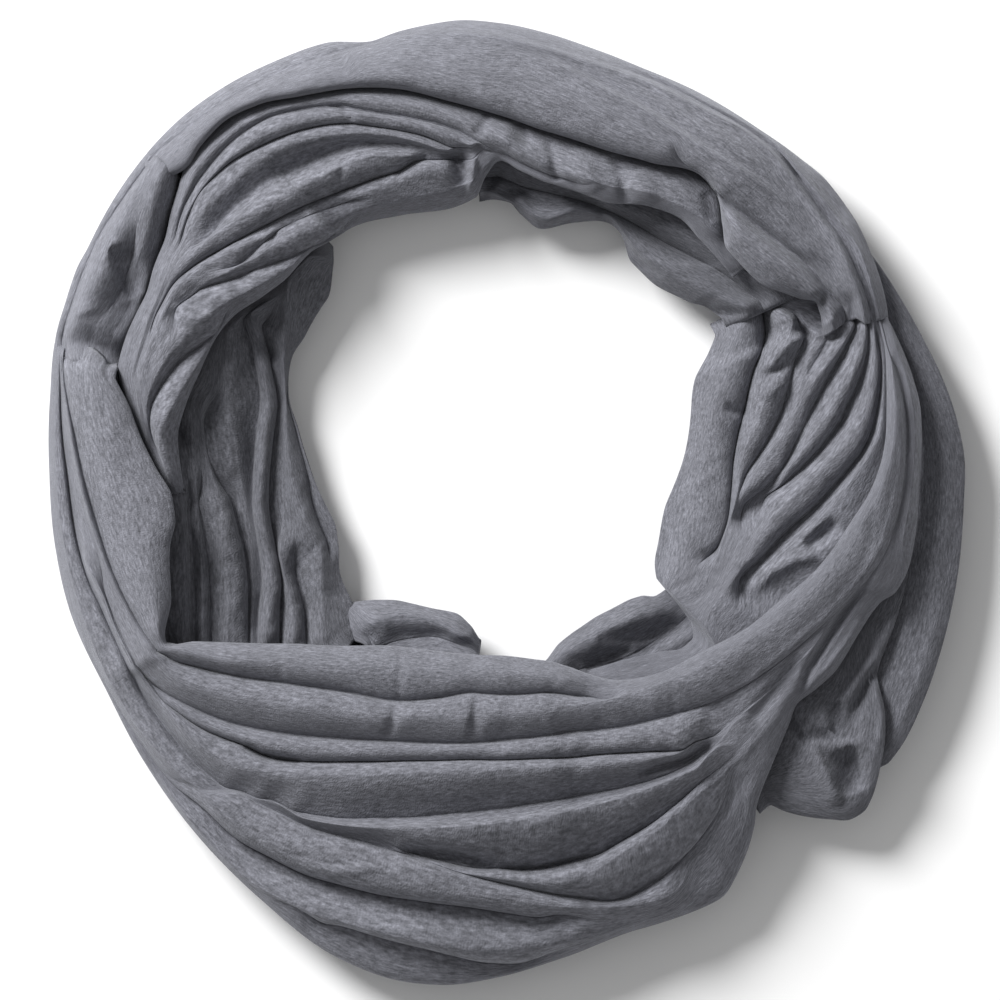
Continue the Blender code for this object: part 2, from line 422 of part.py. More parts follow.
class Sheet:
    """A stretch as heights over angle and share of the way from its outer to its inner edge."""

    def __init__(self, stretch, steepest=STEEPEST):
        self.stretch = stretch
        self.steepest = steepest
        self.middle = (stretch.start + stretch.end) / 2

    def edge(self, points, angles, slip):
        at, radius = round_hub(points, self.middle)
        return curve_through(at, radius, angles) + slip

    def heights(self, angles):
        rows = self.stretch.sections
        at = [row.angle for row in rows]
        return {name: curve_through(at, [getattr(row, name) for row in rows], angles)
                for name in Section._fields[1:]}

    def lines(self, angles):
        """Each fold's share of the way across, and how strongly it shows, at the given angles."""
        s = self.stretch
        outer = self.edge(s.outer, angles, s.slip_out)
        inner = self.edge(s.inner, angles, -s.slip_in)
        count = len(s.folds)
        share = np.zeros((count + 2, len(angles)))
        shown = np.ones((count + 2, len(angles)))
        share[-1] = 1.0
        for k, fold in enumerate(s.folds, start=1):
            at, radius = round_hub(fold.points, self.middle)
            first, last = at.min(), at.max()
            held_at = np.clip(angles, first, last)
            rim = self.edge(s.outer, held_at, s.slip_out)
            far = self.edge(s.inner, held_at, -s.slip_in)
            way_in = (rim - curve_through(at, radius, held_at)) / (rim - far)
            share[k] = np.clip(way_in, NEAREST_EDGE, 1 - NEAREST_EDGE)
            left = ease((angles - first + FADE) / FADE) if first > s.start + 2 else 1.0
            right = ease((last + FADE - angles) / FADE) if last < s.end - 2 else 1.0
            shown[k] = left * right
        held = HOLD * shown + LOOSE
        # A fold that shows holds its line; one that doesn't lies midway between its neighbours.
        for j in range(len(angles)):
            matrix = np.diag(held[:, j] + 2.0)
            matrix -= np.eye(count + 2, k=1) + np.eye(count + 2, k=-1)
            matrix[0] = 0.0
            matrix[-1] = 0.0
            matrix[0, 0] = matrix[-1, -1] = 1.0
            target = held[:, j] * share[:, j]
            target[0] = 0.0
            target[-1] = 1.0
            share[:, j] = np.linalg.solve(matrix, target)
        room = LEAST_ROOM / np.maximum(outer - inner, LEAST_ROOM * (count + 2))
        for k in range(1, count + 1):
            share[k] = np.maximum(share[k], share[k - 1] + room)
        for k in range(count, 0, -1):
            share[k] = np.minimum(share[k], share[k + 1] - room)
        return outer, inner, share, shown

    def surface(self, angles, between):
        """Distance from HUB and height, both in mm, of the rings of points across the stretch."""
        s = self.stretch
        outer, inner, share, shown = self.lines(angles)
        h = self.heights(angles)
        width = outer - inner
        rises = np.array([0.0] + [fold.rise for fold in s.folds] + [0.0])
        crisp = [0.0] + [fold.crisp for fold in s.folds] + [0.0]
        room = np.empty_like(share)
        room[1:-1] = np.minimum(share[1:-1] - share[:-2], share[2:] - share[1:-1]) * width
        room[0] = room[-1] = 1.0
        rise = rises[:, None] * shown
        most = self.steepest * room
        rise = np.clip(rise, -most, most)
        rise[0] = rise[-1] = 0.0

        across, lift = [], []
        for k in range(len(rises) - 1):
            steps = [0.0] + list(between)
            for t in steps:
                falling = rises[k] >= 0 > rises[k + 1]
                rising = rises[k] < 0 <= rises[k + 1]
                soft = (1 - math.cos(math.pi * t)) / 2
                blend = soft
                if falling:
                    tight = 1 - math.sqrt(1 - t * t)
                    blend = soft + (tight - soft) * crisp[k + 1]
                if rising:
                    tight = math.sqrt(1 - (1 - t) ** 2)
                    blend = soft + (tight - soft) * crisp[k]
                across.append(share[k] + (share[k + 1] - share[k]) * t)
                lift.append(rise[k] + (rise[k + 1] - rise[k]) * blend)
        across.append(share[-1])
        lift.append(rise[-1])
        across = np.array(across)
        arch = np.sqrt(np.maximum(0.0, 1 - (2 * across - 1) ** 2))
        height = h["z_out"] + (h["z_in"] - h["z_out"]) * across + h["crown"] * arch + np.array(lift)
        radius = outer - width * across

        droop_start, droop_end = s.droop
        length = max(DROOP_LEAST, DROOP_SHARE * (s.end - s.start))
        for droop, gone in ((droop_start, angles - s.start), (droop_end, s.end - angles)):
            share_left = np.clip(1 - gone / length, 0, 1)
            height = height - droop * (1 - np.sqrt(1 - share_left ** 2))
        height = np.maximum(height, np.minimum(h["foot_out"], h["foot_in"]) + WALL + SEAT_GAP)
        return radius, height, h

    def rings(self, angles, between, curl_steps=CURL_STEPS):
        """The surface with its two edges curled under, as arrays of x, y and z in metres."""
        radius, height, h = self.surface(angles, between)
        turns = [math.pi / 2 * (k + 1) / curl_steps for k in range(curl_steps)]
        outer_r, outer_z, inner_r, inner_z = [], [], [], []
        for turn in turns:
            outer_r.append(radius[0] - h["tuck_out"] * (1 - math.cos(turn)))
            outer_z.append(h["foot_out"] + (height[0] - h["foot_out"]) * (1 - math.sin(turn)))
            inner_r.append(radius[-1] + h["tuck_in"] * (1 - math.cos(turn)))
            inner_z.append(h["foot_in"] + (height[-1] - h["foot_in"]) * (1 - math.sin(turn)))
        radius = np.vstack((outer_r[::-1], radius, inner_r))
        height = np.vstack((outer_z[::-1], height, inner_z))
        return ring_points(radius, height, angles)


def ring_points(radius, height, angles):
    """Distances from HUB and heights in mm, at the given angles, as points in metres."""
    turn = np.radians(angles)
    x = (HUB[0] - ORIGIN[0]) * PIXEL + radius * MM * np.cos(turn)
    y = (ORIGIN[1] - HUB[1]) * PIXEL + radius * MM * np.sin(turn)
    return np.stack((x, y, height * MM), axis=2)


def across_and_along(points):
    """Unit normals of a grid of points, upwards on the face of the cloth."""
    across = np.gradient(points, axis=0)
    along = np.gradient(points, axis=1)
    normal = np.cross(across, along)
    length = np.linalg.norm(normal, axis=2, keepdims=True)
    return normal / np.maximum(length, 1e-12)


def wall_mesh(name, points):
    """Closed wall of cloth: the grid of points, the same grid moved in by WALL, and a rim round both."""
    rings, stations = points.shape[:2]
    normal = across_and_along(points)
    if normal[rings // 2, :, 2].mean() < 0:
        normal = -normal
    inside = points - normal * WALL * MM
    bm = bmesh.new()
    face_side = [[bm.verts.new(Vector(p)) for p in ring] for ring in points]
    back_side = [[bm.verts.new(Vector(p)) for p in ring] for ring in inside]
    for k in range(rings - 1):
        for j in range(stations - 1):
            bm.faces.new((face_side[k][j], face_side[k][j + 1], face_side[k + 1][j + 1], face_side[k + 1][j]))
            bm.faces.new((back_side[k][j], back_side[k + 1][j], back_side[k + 1][j + 1], back_side[k][j + 1]))
    for j in range(stations - 1):
        for k, turned in ((0, False), (rings - 1, True)):
            rim = [face_side[k][j], back_side[k][j], back_side[k][j + 1], face_side[k][j + 1]]
            bm.faces.new(rim[::-1] if turned else rim)
    for k in range(rings - 1):
        for j, turned in ((0, True), (stations - 1, False)):
            rim = [face_side[k][j], back_side[k][j], back_side[k + 1][j], face_side[k + 1][j]]
            bm.faces.new(rim[::-1] if turned else rim)
    bmesh.ops.recalc_face_normals(bm, faces=bm.faces)
    return add_object(name, bm)


def add_object(name, bm):
    mesh = bpy.data.meshes.new(name)
    bm.to_mesh(mesh)
    bm.free()
    mesh.shade_smooth()
    mesh.set_sharp_from_angle(angle=math.radians(SHARP_ABOVE))
    part = bpy.data.objects.new(name, mesh)
    bpy.context.scene.collection.objects.link(part)
    part.data.materials.append(cloth_material(name))
    return part


def cloth_material(name):
    material = bpy.data.materials.new(name)
    material.use_nodes = True
    shader = material.node_tree.nodes["Principled BSDF"]
    shader.inputs["Base Color"].default_value = HEATHER
    shader.inputs["Roughness"].default_value = ROUGHNESS
    shader.inputs["Metallic"].default_value = 0.0
    return material


def build_stretch(stretch):
    angles = np.linspace(stretch.start, stretch.end, stretch.steps)
    between = () if len(stretch.folds) > MANY_FOLDS else (0.5,)
    return wall_mesh(stretch.name, Sheet(stretch).rings(angles, between))


def outline(angles, side):
    """The ring's silhouette: its largest or smallest distance from HUB over all stretches."""
    best = np.full(len(angles), 0.0 if side == "outer" else np.inf)
    for stretch in STRETCHES:
        sheet = Sheet(stretch)
        for j, angle in enumerate(angles):
            turned = (angle - sheet.middle + 180) % 360 - 180 + sheet.middle
            if not stretch.start <= turned <= stretch.end:
                continue
            points = stretch.outer if side == "outer" else stretch.inner
            radius = sheet.edge(points, np.array([turned]), 0.0)[0]
            best[j] = max(best[j], radius) if side == "outer" else min(best[j], radius)
    return best


def build_hidden_layers():
    """Low ring under all the stretches. Its flanks show three folded edges of cloth, one on another."""
    angles = np.arange(HEAP_STATIONS) * 360.0 / HEAP_STATIONS
    outer = outline(angles, "outer")
    hole = outline(angles, "inner")
    for _ in range(2):
        outer = np.minimum(outer, (np.roll(outer, 1) + outer + np.roll(outer, -1)) / 3)
        hole = np.maximum(hole, (np.roll(hole, 1) + hole + np.roll(hole, -1)) / 3)
    section = []
    for k in range(LAYERS):
        low = OUTER_HEAP * k / LAYERS
        high = OUTER_HEAP * (k + 1) / LAYERS
        edge = outer - OUTER_INSET - STEP_BACK[k]
        section.append((edge - OUTER_GROOVE, low))
        section.append((edge, (low + high) / 2))
    section.append((outer - OUTER_INSET - SHOULDER, OUTER_HEAP))
    for share, height in zip(HEAP_STEP, (OUTER_HEAP, HOLE_HEAP)):
        section.append((outer * share + hole * (1 - share), height))
    section.append((hole + HOLE_INSET + SHOULDER, HOLE_HEAP))
    for k in reversed(range(LAYERS)):
        low = HOLE_HEAP * k / LAYERS
        high = HOLE_HEAP * (k + 1) / LAYERS
        edge = hole + HOLE_INSET + STEP_BACK[k]
        section.append((edge, (low + high) / 2))
        section.append((edge + HOLE_GROOVE, low))
    radius = np.array([ring for ring, _ in section])
    height = np.array([np.full(HEAP_STATIONS, z) for _, z in section])
    points = ring_points(radius, height, angles)
    bm = bmesh.new()
    rings = [[bm.verts.new(Vector(p)) for p in ring] for ring in points]
    for k in range(len(rings)):
        near, far = rings[k], rings[(k + 1) % len(rings)]
        for j in range(HEAP_STATIONS):
            after = (j + 1) % HEAP_STATIONS
            bm.faces.new((near[j], near[after], far[after], far[j]))
    bmesh.ops.recalc_face_normals(bm, faces=bm.faces)
    return add_object("hidden_layers", bm)


def main():
    for old in list(bpy.data.objects):
        bpy.data.objects.remove(old, do_unlink=True)
    build_hidden_layers()
    for stretch in STRETCHES:
        build_stretch(stretch)


main()
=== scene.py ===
"""Infinity scarf of heather grey jersey, wound twice into a ring and laid flat: the cloth that shows.

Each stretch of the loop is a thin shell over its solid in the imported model, worked out from a table: the
line of its outer edge, the line of its inner edge, the folds between them, the heights of a few
cross-sections, and the short creases that lie on it.

Lines are given by a few points in photo pixels, x to the right and y down. PIXEL turns them into metres.
All lines run round the ring, so a line is a distance from HUB that changes with the angle.
"""
import math
from collections import namedtuple

import bmesh
import bpy
import numpy as np
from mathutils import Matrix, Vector


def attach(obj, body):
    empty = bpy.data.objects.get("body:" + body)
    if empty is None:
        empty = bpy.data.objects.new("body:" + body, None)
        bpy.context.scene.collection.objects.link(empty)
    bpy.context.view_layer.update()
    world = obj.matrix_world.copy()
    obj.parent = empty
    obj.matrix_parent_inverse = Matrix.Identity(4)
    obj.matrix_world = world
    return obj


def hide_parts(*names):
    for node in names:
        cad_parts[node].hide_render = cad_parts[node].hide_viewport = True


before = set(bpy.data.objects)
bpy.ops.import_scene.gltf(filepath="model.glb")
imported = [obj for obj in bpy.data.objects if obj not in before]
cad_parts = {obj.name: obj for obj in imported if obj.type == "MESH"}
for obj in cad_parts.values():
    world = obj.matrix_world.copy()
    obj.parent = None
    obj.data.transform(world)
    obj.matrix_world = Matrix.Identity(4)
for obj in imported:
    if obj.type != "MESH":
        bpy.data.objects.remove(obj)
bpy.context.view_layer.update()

MM = 0.001
PIXEL = 0.412 * MM          # length on the real scarf of one photo pixel
HUB = (507, 430)            # middle of the hole, in photo pixels
ORIGIN = (507, 503)         # middle of the whole ring, in photo pixels
PHOTO_MIDDLE = (500, 500)   # middle of the photo
PHOTO_SIDE = 1000           # pixels

SEAT_GAP = 0.3              # mm, from a wall's foot to what it rests on
WALL = 1.0                  # mm, thickness of the cloth shells
OUTER_HEAP = 14.0           # mm, height of the hidden layers at the outside
HOLE_HEAP = 9.5             # mm, and round the hole
OUTER_FOOT = OUTER_HEAP + SEAT_GAP
HOLE_FOOT = HOLE_HEAP + SEAT_GAP

FADE = 7.0                  # degrees over which a fold comes and goes
STEEPEST = 0.8              # most that a fold rises, as a share of the room beside it
LEAST_ROOM = 0.25           # mm between two neighbouring fold lines
LOPSIDED = 5                # most that the wider side of a fold counts for, to 1 of the narrower
NEAR_END = 2.0              # degrees from a stretch's end within which a fold does not fade
PULL = 3.0                  # of a fold towards its own line, against its neighbours' pull, at half strength
LOOSE = 1e-4                # keeps that pull finite where a fold shows in full
FOLD_DEPTH = 1.5            # how much deeper the folds are than on the solids
SHOULDER_POWER = 2.6        # 2 makes round rolls between creases, and more makes flatter panels
NEAREST_EDGE = 0.02         # least share of the way across at which a fold lies from an edge
DROOP_LEAST = 4.0           # degrees over which an end droops, at the least
DROOP_SHARE = 0.02          # and as a share of the stretch

RING_SPACING = 1.15         # mm, at most, between rings of points across a stretch
STATION_SPACING = 1.1       # mm, between cross-sections along it
WIDE_SPACING = {"front_sweep": 1.7}     # mm, so that the widest piece stays under 200,000 triangles
MOST_RINGS = 45             # between two fold lines
INSIDE_STEP = 3             # rings and stations of the outside to each of the unseen inside
CURL_STEPS = 7              # rings of points from an edge down to its foot
SPARE_STEP = 0.2            # mm between the rings added below the outer foot to fill whole steps
BLUR_TIMES = 2              # smoothings of the folds along a stretch
EDGE_SAMPLES = 40           # angles at which a stretch's mean distance from HUB is taken
MIDDLE_LINE = 0.9           # of that distance, about where the middle of the stretch runs

# A cross-section: heights in mm of the outer edge, its foot, how far the foot is tucked in, the rise
# of the arch between the edges, and the same three for the inner edge.
Section = namedtuple("Section", "angle z_out foot_out tuck_out crown z_in foot_in tuck_in")
# A fold: rise in mm, positive on a ridge, one value or several spread along it; how crisp its crease is,
# from 0 to 1, one value or those of its outer and inner side; points in pixels.
Fold = namedtuple("Fold", "name rise crisp points")
# A stretch: angles of its ends, mm that it slips under its neighbours at the outer and the inner edge, mm
# that its two ends droop, edges in pixels, sections and folds.
Stretch = namedtuple("Stretch", "name start end slip_out slip_in droop outer inner sections folds")

FRONT_SWEEP = Stretch(
    "front_sweep", 168.4, 376.6, 0, 0, (10, 0),
    outer=(
        (54, 340), (49, 400), (48, 460), (54, 545), (72, 620), (100, 680), (142, 760), (200, 840),
        (260, 900), (340, 960), (400, 982), (440, 986), (500, 978), (560, 960), (640, 930), (700, 910),
        (720, 900), (740, 870), (755, 825), (757, 805), (770, 770), (790, 722), (798, 703), (815, 690),
        (838, 668), (855, 640), (866, 622), (880, 603), (896, 592), (908, 570), (915, 540), (920, 480),
        (921, 410), (914, 380), (903, 350), (889, 320)),
    inner=(
        (118, 366), (130, 405), (143, 440), (157, 468), (173, 497), (176, 520), (171, 545), (172, 600),
        (168, 643), (195, 641), (260, 643), (310, 644), (400, 646), (450, 652), (500, 655), (545, 660),
        (568, 666), (590, 674), (612, 679), (635, 678), (665, 670), (700, 652), (750, 625), (780, 600),
        (815, 570), (830, 552), (850, 522), (868, 494), (881, 460), (885, 437), (886, 410), (886, 381),
        (884, 345), (878, 319)),
    sections=(
        Section(169, 20, OUTER_FOOT, 9, 8, 41, 30, 4),
        Section(195, 19, OUTER_FOOT, 9, 10, 43, 31, 4),
        Section(212, 18, OUTER_FOOT, 9, 11, 44, 31, 4),
        Section(235, 18, OUTER_FOOT, 9, 14, 45, 31, 5),
        Section(263.6, 18, OUTER_FOOT, 9, 15, 45, 24, 5),
        Section(267, 18, OUTER_FOOT, 9, 15, 45, 10, 6),
        Section(277.5, 18, OUTER_FOOT, 9, 15, 45, 10, 6),
        Section(280.3, 18, OUTER_FOOT, 9, 14, 44, 23, 5),
        Section(298, 19, OUTER_FOOT, 9, 13, 43, 31, 5),
        Section(306, 29, 26.5, 4, 8, 41, 31, 4),
        Section(337, 29, 26.5, 4, 7, 40, 31, 4),
        Section(348, 27, 23.5, 4, 7, 39, 31, 4),
        Section(362, 27, 23.5, 4, 7, 38, 31, 4),
        Section(376, 27, 18.5, 3, 1, 30, 26, 1),
    ),
    folds=(
        Fold("right_ridge", (0.5, 1, 1.5, 1), 0, (
            (886, 323), (897, 350), (908, 385), (914, 420), (912, 480), (905, 525))),
        Fold("bottom_crease", (-5, -5, -3), (0.3, 0.9), (
            (322, 924), (345, 927), (380, 938), (420, 948), (460, 958), (482, 963), (520, 965))),
        Fold("bottom_roll", (2, 3, 4, 4, 2), 0, (
            (180, 822), (220, 858), (260, 888), (300, 908), (340, 921), (380, 931), (420, 940),
            (460, 948), (500, 950), (560, 943), (640, 922))),
        Fold("sixth_crease", (-3, -5, -7, -6, -3), (0.2, 0.9), (
            (108, 690), (140, 742), (175, 787), (200, 806), (240, 842), (270, 858), (300, 873),
            (340, 885), (380, 895), (420, 901), (460, 906), (500, 912), (540, 918))),
        Fold("sixth_roll", 4, 0, (
            (215, 806), (240, 822), (270, 838), (300, 852), (340, 866), (380, 876), (420, 886),
            (460, 892), (500, 898), (540, 904), (600, 908), (650, 903))),
        Fold("fan_crease", (-2, -5, -6, -6, -6, -2), 0.8, (
            (258, 803), (280, 813), (300, 823), (330, 833), (370, 843), (400, 852), (430, 862),
            (460, 872), (500, 882), (540, 891), (575, 897), (620, 900), (650, 885), (675, 865),
            (700, 838), (718, 812))),
        Fold("fan_ridge", (2, 3, 4, 1), 0, (
            (440, 868), (480, 875), (520, 880), (560, 882), (585, 878), (605, 866), (650, 836),
            (690, 803))),
        Fold("fourth_crease", (-5, -9, -8, -4, -1, 0), (0.9, 0.4), (
            (410, 852), (440, 860), (480, 868), (500, 868), (520, 870), (545, 868), (570, 862),
            (597, 855), (620, 842), (650, 824), (680, 800), (705, 778), (730, 758), (752, 735),
            (772, 712), (788, 694))),
        Fold("fourth_roll", (4, 4, 4, 1), 0, (
            (300, 817), (340, 824), (380, 827), (420, 827), (480, 824), (540, 816), (600, 803),
            (650, 787), (698, 767))),
        Fold("flank_ridge", 2, 0, (
            (56, 400), (56, 470), (60, 520), (70, 570), (86, 625), (108, 678), (140, 730), (180, 775))),
        Fold("third_crease", (-4, -6, -6, -6, -6, -6, -2), (0.9, 0.25), (
            (60, 395), (62, 440), (67, 480), (76, 540), (88, 580), (100, 606), (112, 633), (126, 662),
            (145, 700), (165, 728), (185, 753), (200, 768), (220, 785), (240, 797), (260, 803),
            (280, 808), (310, 814), (340, 818), (380, 818), (420, 817), (460, 813), (500, 809),
            (540, 803), (580, 796), (620, 788), (650, 780), (680, 768), (706, 752), (722, 738))),
        Fold("third_roll", 4, 0, (
            (88, 565), (104, 595), (120, 636), (142, 674), (165, 704), (190, 735), (220, 757),
            (260, 770), (300, 775), (340, 776), (400, 773), (460, 771), (520, 768), (580, 765),
            (640, 760), (680, 753))),
        Fold("slit_crease", (-1, -6, -9, -5, -3, -3, -6, -6, -8, -1, 0), (0.8, 0.9), (
            (150, 692), (175, 710), (200, 727), (225, 738), (245, 745), (262, 754), (280, 759),
            (310, 761), (360, 761), (420, 760), (480, 759), (530, 758), (570, 757), (600, 754),
            (650, 751), (690, 748), (708, 740), (735, 719), (770, 690), (800, 660))),
        Fold("second_roll", 2, 0, (
            (190, 716), (225, 731), (260, 741), (310, 749), (400, 751), (480, 750), (560, 746),
            (620, 741), (680, 734))),
        Fold("second_crease", (-3, -5, -6, -6, -4, -1, -1, -2), (0.9, 0.6), (
            (107, 603), (122, 638), (140, 668), (158, 687), (190, 706), (225, 721), (260, 729),
            (300, 735), (340, 738), (400, 741), (480, 742), (520, 738), (560, 733), (620, 727),
            (660, 718), (700, 706), (740, 688), (780, 661), (820, 627), (851, 597), (872, 573),
            (887, 548), (896, 521), (902, 497), (905, 471), (907, 437), (906, 410), (903, 381),
            (894, 351), (883, 323))),
        Fold("first_roll", (4, 4, 4, 4, 1.5, 0.5, 2), 0, (
            (62, 370), (70, 430), (80, 480), (94, 530), (112, 578), (132, 618), (152, 652), (175, 676),
            (220, 692), (300, 706), (400, 716), (440, 714), (500, 712), (560, 708), (620, 696),
            (700, 668), (760, 633), (810, 593), (845, 550), (865, 518), (880, 490), (890, 460),
            (894, 430), (893, 385), (889, 350), (881, 323))),
        Fold("panel_crease", (-4, -5, -5, -5, -4, -4, -3, -3, -2), 0.8, (
            (63, 358), (68, 400), (76, 440), (87, 490), (99, 530), (112, 568), (128, 603), (145, 632),
            (166, 656), (200, 667), (240, 676), (290, 683), (350, 692), (395, 700), (440, 697),
            (475, 692), (540, 692), (592, 697))),
        Fold("panel", 3, 0, (
            (92, 390), (110, 455), (130, 520), (145, 570), (155, 610), (163, 640), (200, 654),
            (300, 662), (400, 668), (500, 672), (560, 677))),
    ),
)

TOP_BAND = Stretch(
    "top_band", 16.4, 144.3, 0, 0, (0, 9),
    outer=(
        (889, 320), (886, 300), (880, 277), (871, 252), (856, 220), (828, 181), (800, 157), (750, 122),
        (700, 92), (650, 70), (600, 50), (550, 33), (500, 22), (450, 20), (400, 30), (375, 39),
        (325, 42), (275, 60), (225, 85), (175, 122), (148, 150)),
    inner=(
        (824, 336), (822, 326), (820, 314), (816, 303), (800, 299), (780, 292), (762, 285), (748, 273),
        (736, 260), (727, 250), (722, 225), (716, 195), (700, 176), (650, 163), (600, 149), (550, 133),
        (500, 116), (450, 102), (400, 90), (350, 89), (300, 97), (260, 105), (220, 126), (200, 148),
        (190, 165), (172, 176), (158, 170)),
    sections=(
        Section(16, 27, 15, 3, 2, 28, 24, 1),
        Section(20, 27, 15, 3, 5, 33, 26, 2),
        Section(24, 27, 15, 4, 7, 35, 27, 2),
        Section(30.5, 24, 13.5, 5, 9, 37, 28, 2),
        Section(34, 20, OUTER_FOOT, 9, 11, 38, 33, 3),
        Section(52, 19, OUTER_FOOT, 9, 14, 39, 33, 3),
        Section(90, 18, OUTER_FOOT, 9, 15, 39, 33, 3),
        Section(125, 18, OUTER_FOOT, 9, 14, 38, 32, 3),
        Section(143, 18, OUTER_FOOT, 9, 11, 33, 22, 4),
    ),
    folds=(
        Fold("strip_crease", -3, (0.2, 0.9), (
            (385, 40), (330, 54), (275, 75), (225, 102), (185, 130), (158, 150))),
        Fold("edge_ridge", (1, 2, 3, 3, 2), 0, (
            (655, 75), (700, 99), (745, 123), (780, 148), (799, 172), (828, 207), (858, 248), (872, 288),
            (880, 320))),
        Fold("edge_crease", (-1, -2, -3, -4, -3), (0.1, 0.9), (
            (655, 80), (700, 104), (745, 128), (776, 152), (794, 173), (819, 207), (844, 242),
            (859, 275), (868, 300), (872, 321))),
        Fold("outer_ridge", (1, 2, 3, 4, 3), 0, (
            (385, 40), (420, 35), (450, 34), (500, 38), (550, 51), (600, 67), (650, 85), (700, 109),
            (745, 132), (770, 152), (789, 177), (812, 208), (837, 243), (852, 275), (861, 300),
            (865, 323))),
        Fold("long_ridge", (1, 2, 3, 1), 0, (
            (530, 56), (575, 74), (600, 88), (650, 114), (700, 147), (750, 178), (782, 208), (804, 240))),
        Fold("dark_crease", (-4, -6, -6, -4), (0.9, 0.6), (
            (694, 175), (719, 195), (751, 221), (781, 244), (808, 265), (827, 289), (846, 313))),
        Fold("inner_piece", 5, 0, (
            (716, 205), (738, 232), (765, 255), (790, 276), (812, 296), (832, 322))),
    ),
)

LEFT_POUCH = Stretch(
    "left_pouch", 142.0, 173.5, 0, 0, (4, 14),
    outer=(
        (148, 150), (112, 200), (88, 245), (75, 270), (65, 300), (55, 334), (53, 350), (54, 368)),
    inner=(
        (180, 172), (174, 200), (168, 222), (162, 250), (154, 275), (146, 297), (137, 320), (124, 362),
        (126, 374)),
    sections=(
        Section(143, 18, OUTER_FOOT, 9, 13, 27, 20, -2),
        Section(150, 18, OUTER_FOOT, 9, 13, 23, 18, -2),
        Section(164, 18, OUTER_FOOT, 9, 13, 21, 17, -2),
        Section(173, 19, OUTER_FOOT, 9, 11, 30, 20, -2),
    ),
    folds=(
        Fold("edge_crease", -4, 0.7, (
            (147, 165), (122, 200), (104, 228), (90, 256), (77, 290), (66, 322))),
        Fold("pouch_ridge", (3, 4, 5, 4), 0, (
            (152, 172), (132, 205), (112, 242), (98, 275), (82, 310), (74, 332))),
        Fold("dimple", -5, 0.3, ((129, 266), (126, 274), (124, 282))),
        Fold("side_ridge", (5, 5, 4, 0, -5, -3), 0, (
            (157, 182), (150, 218), (143, 245), (136, 268), (130, 300))),
    ),
)

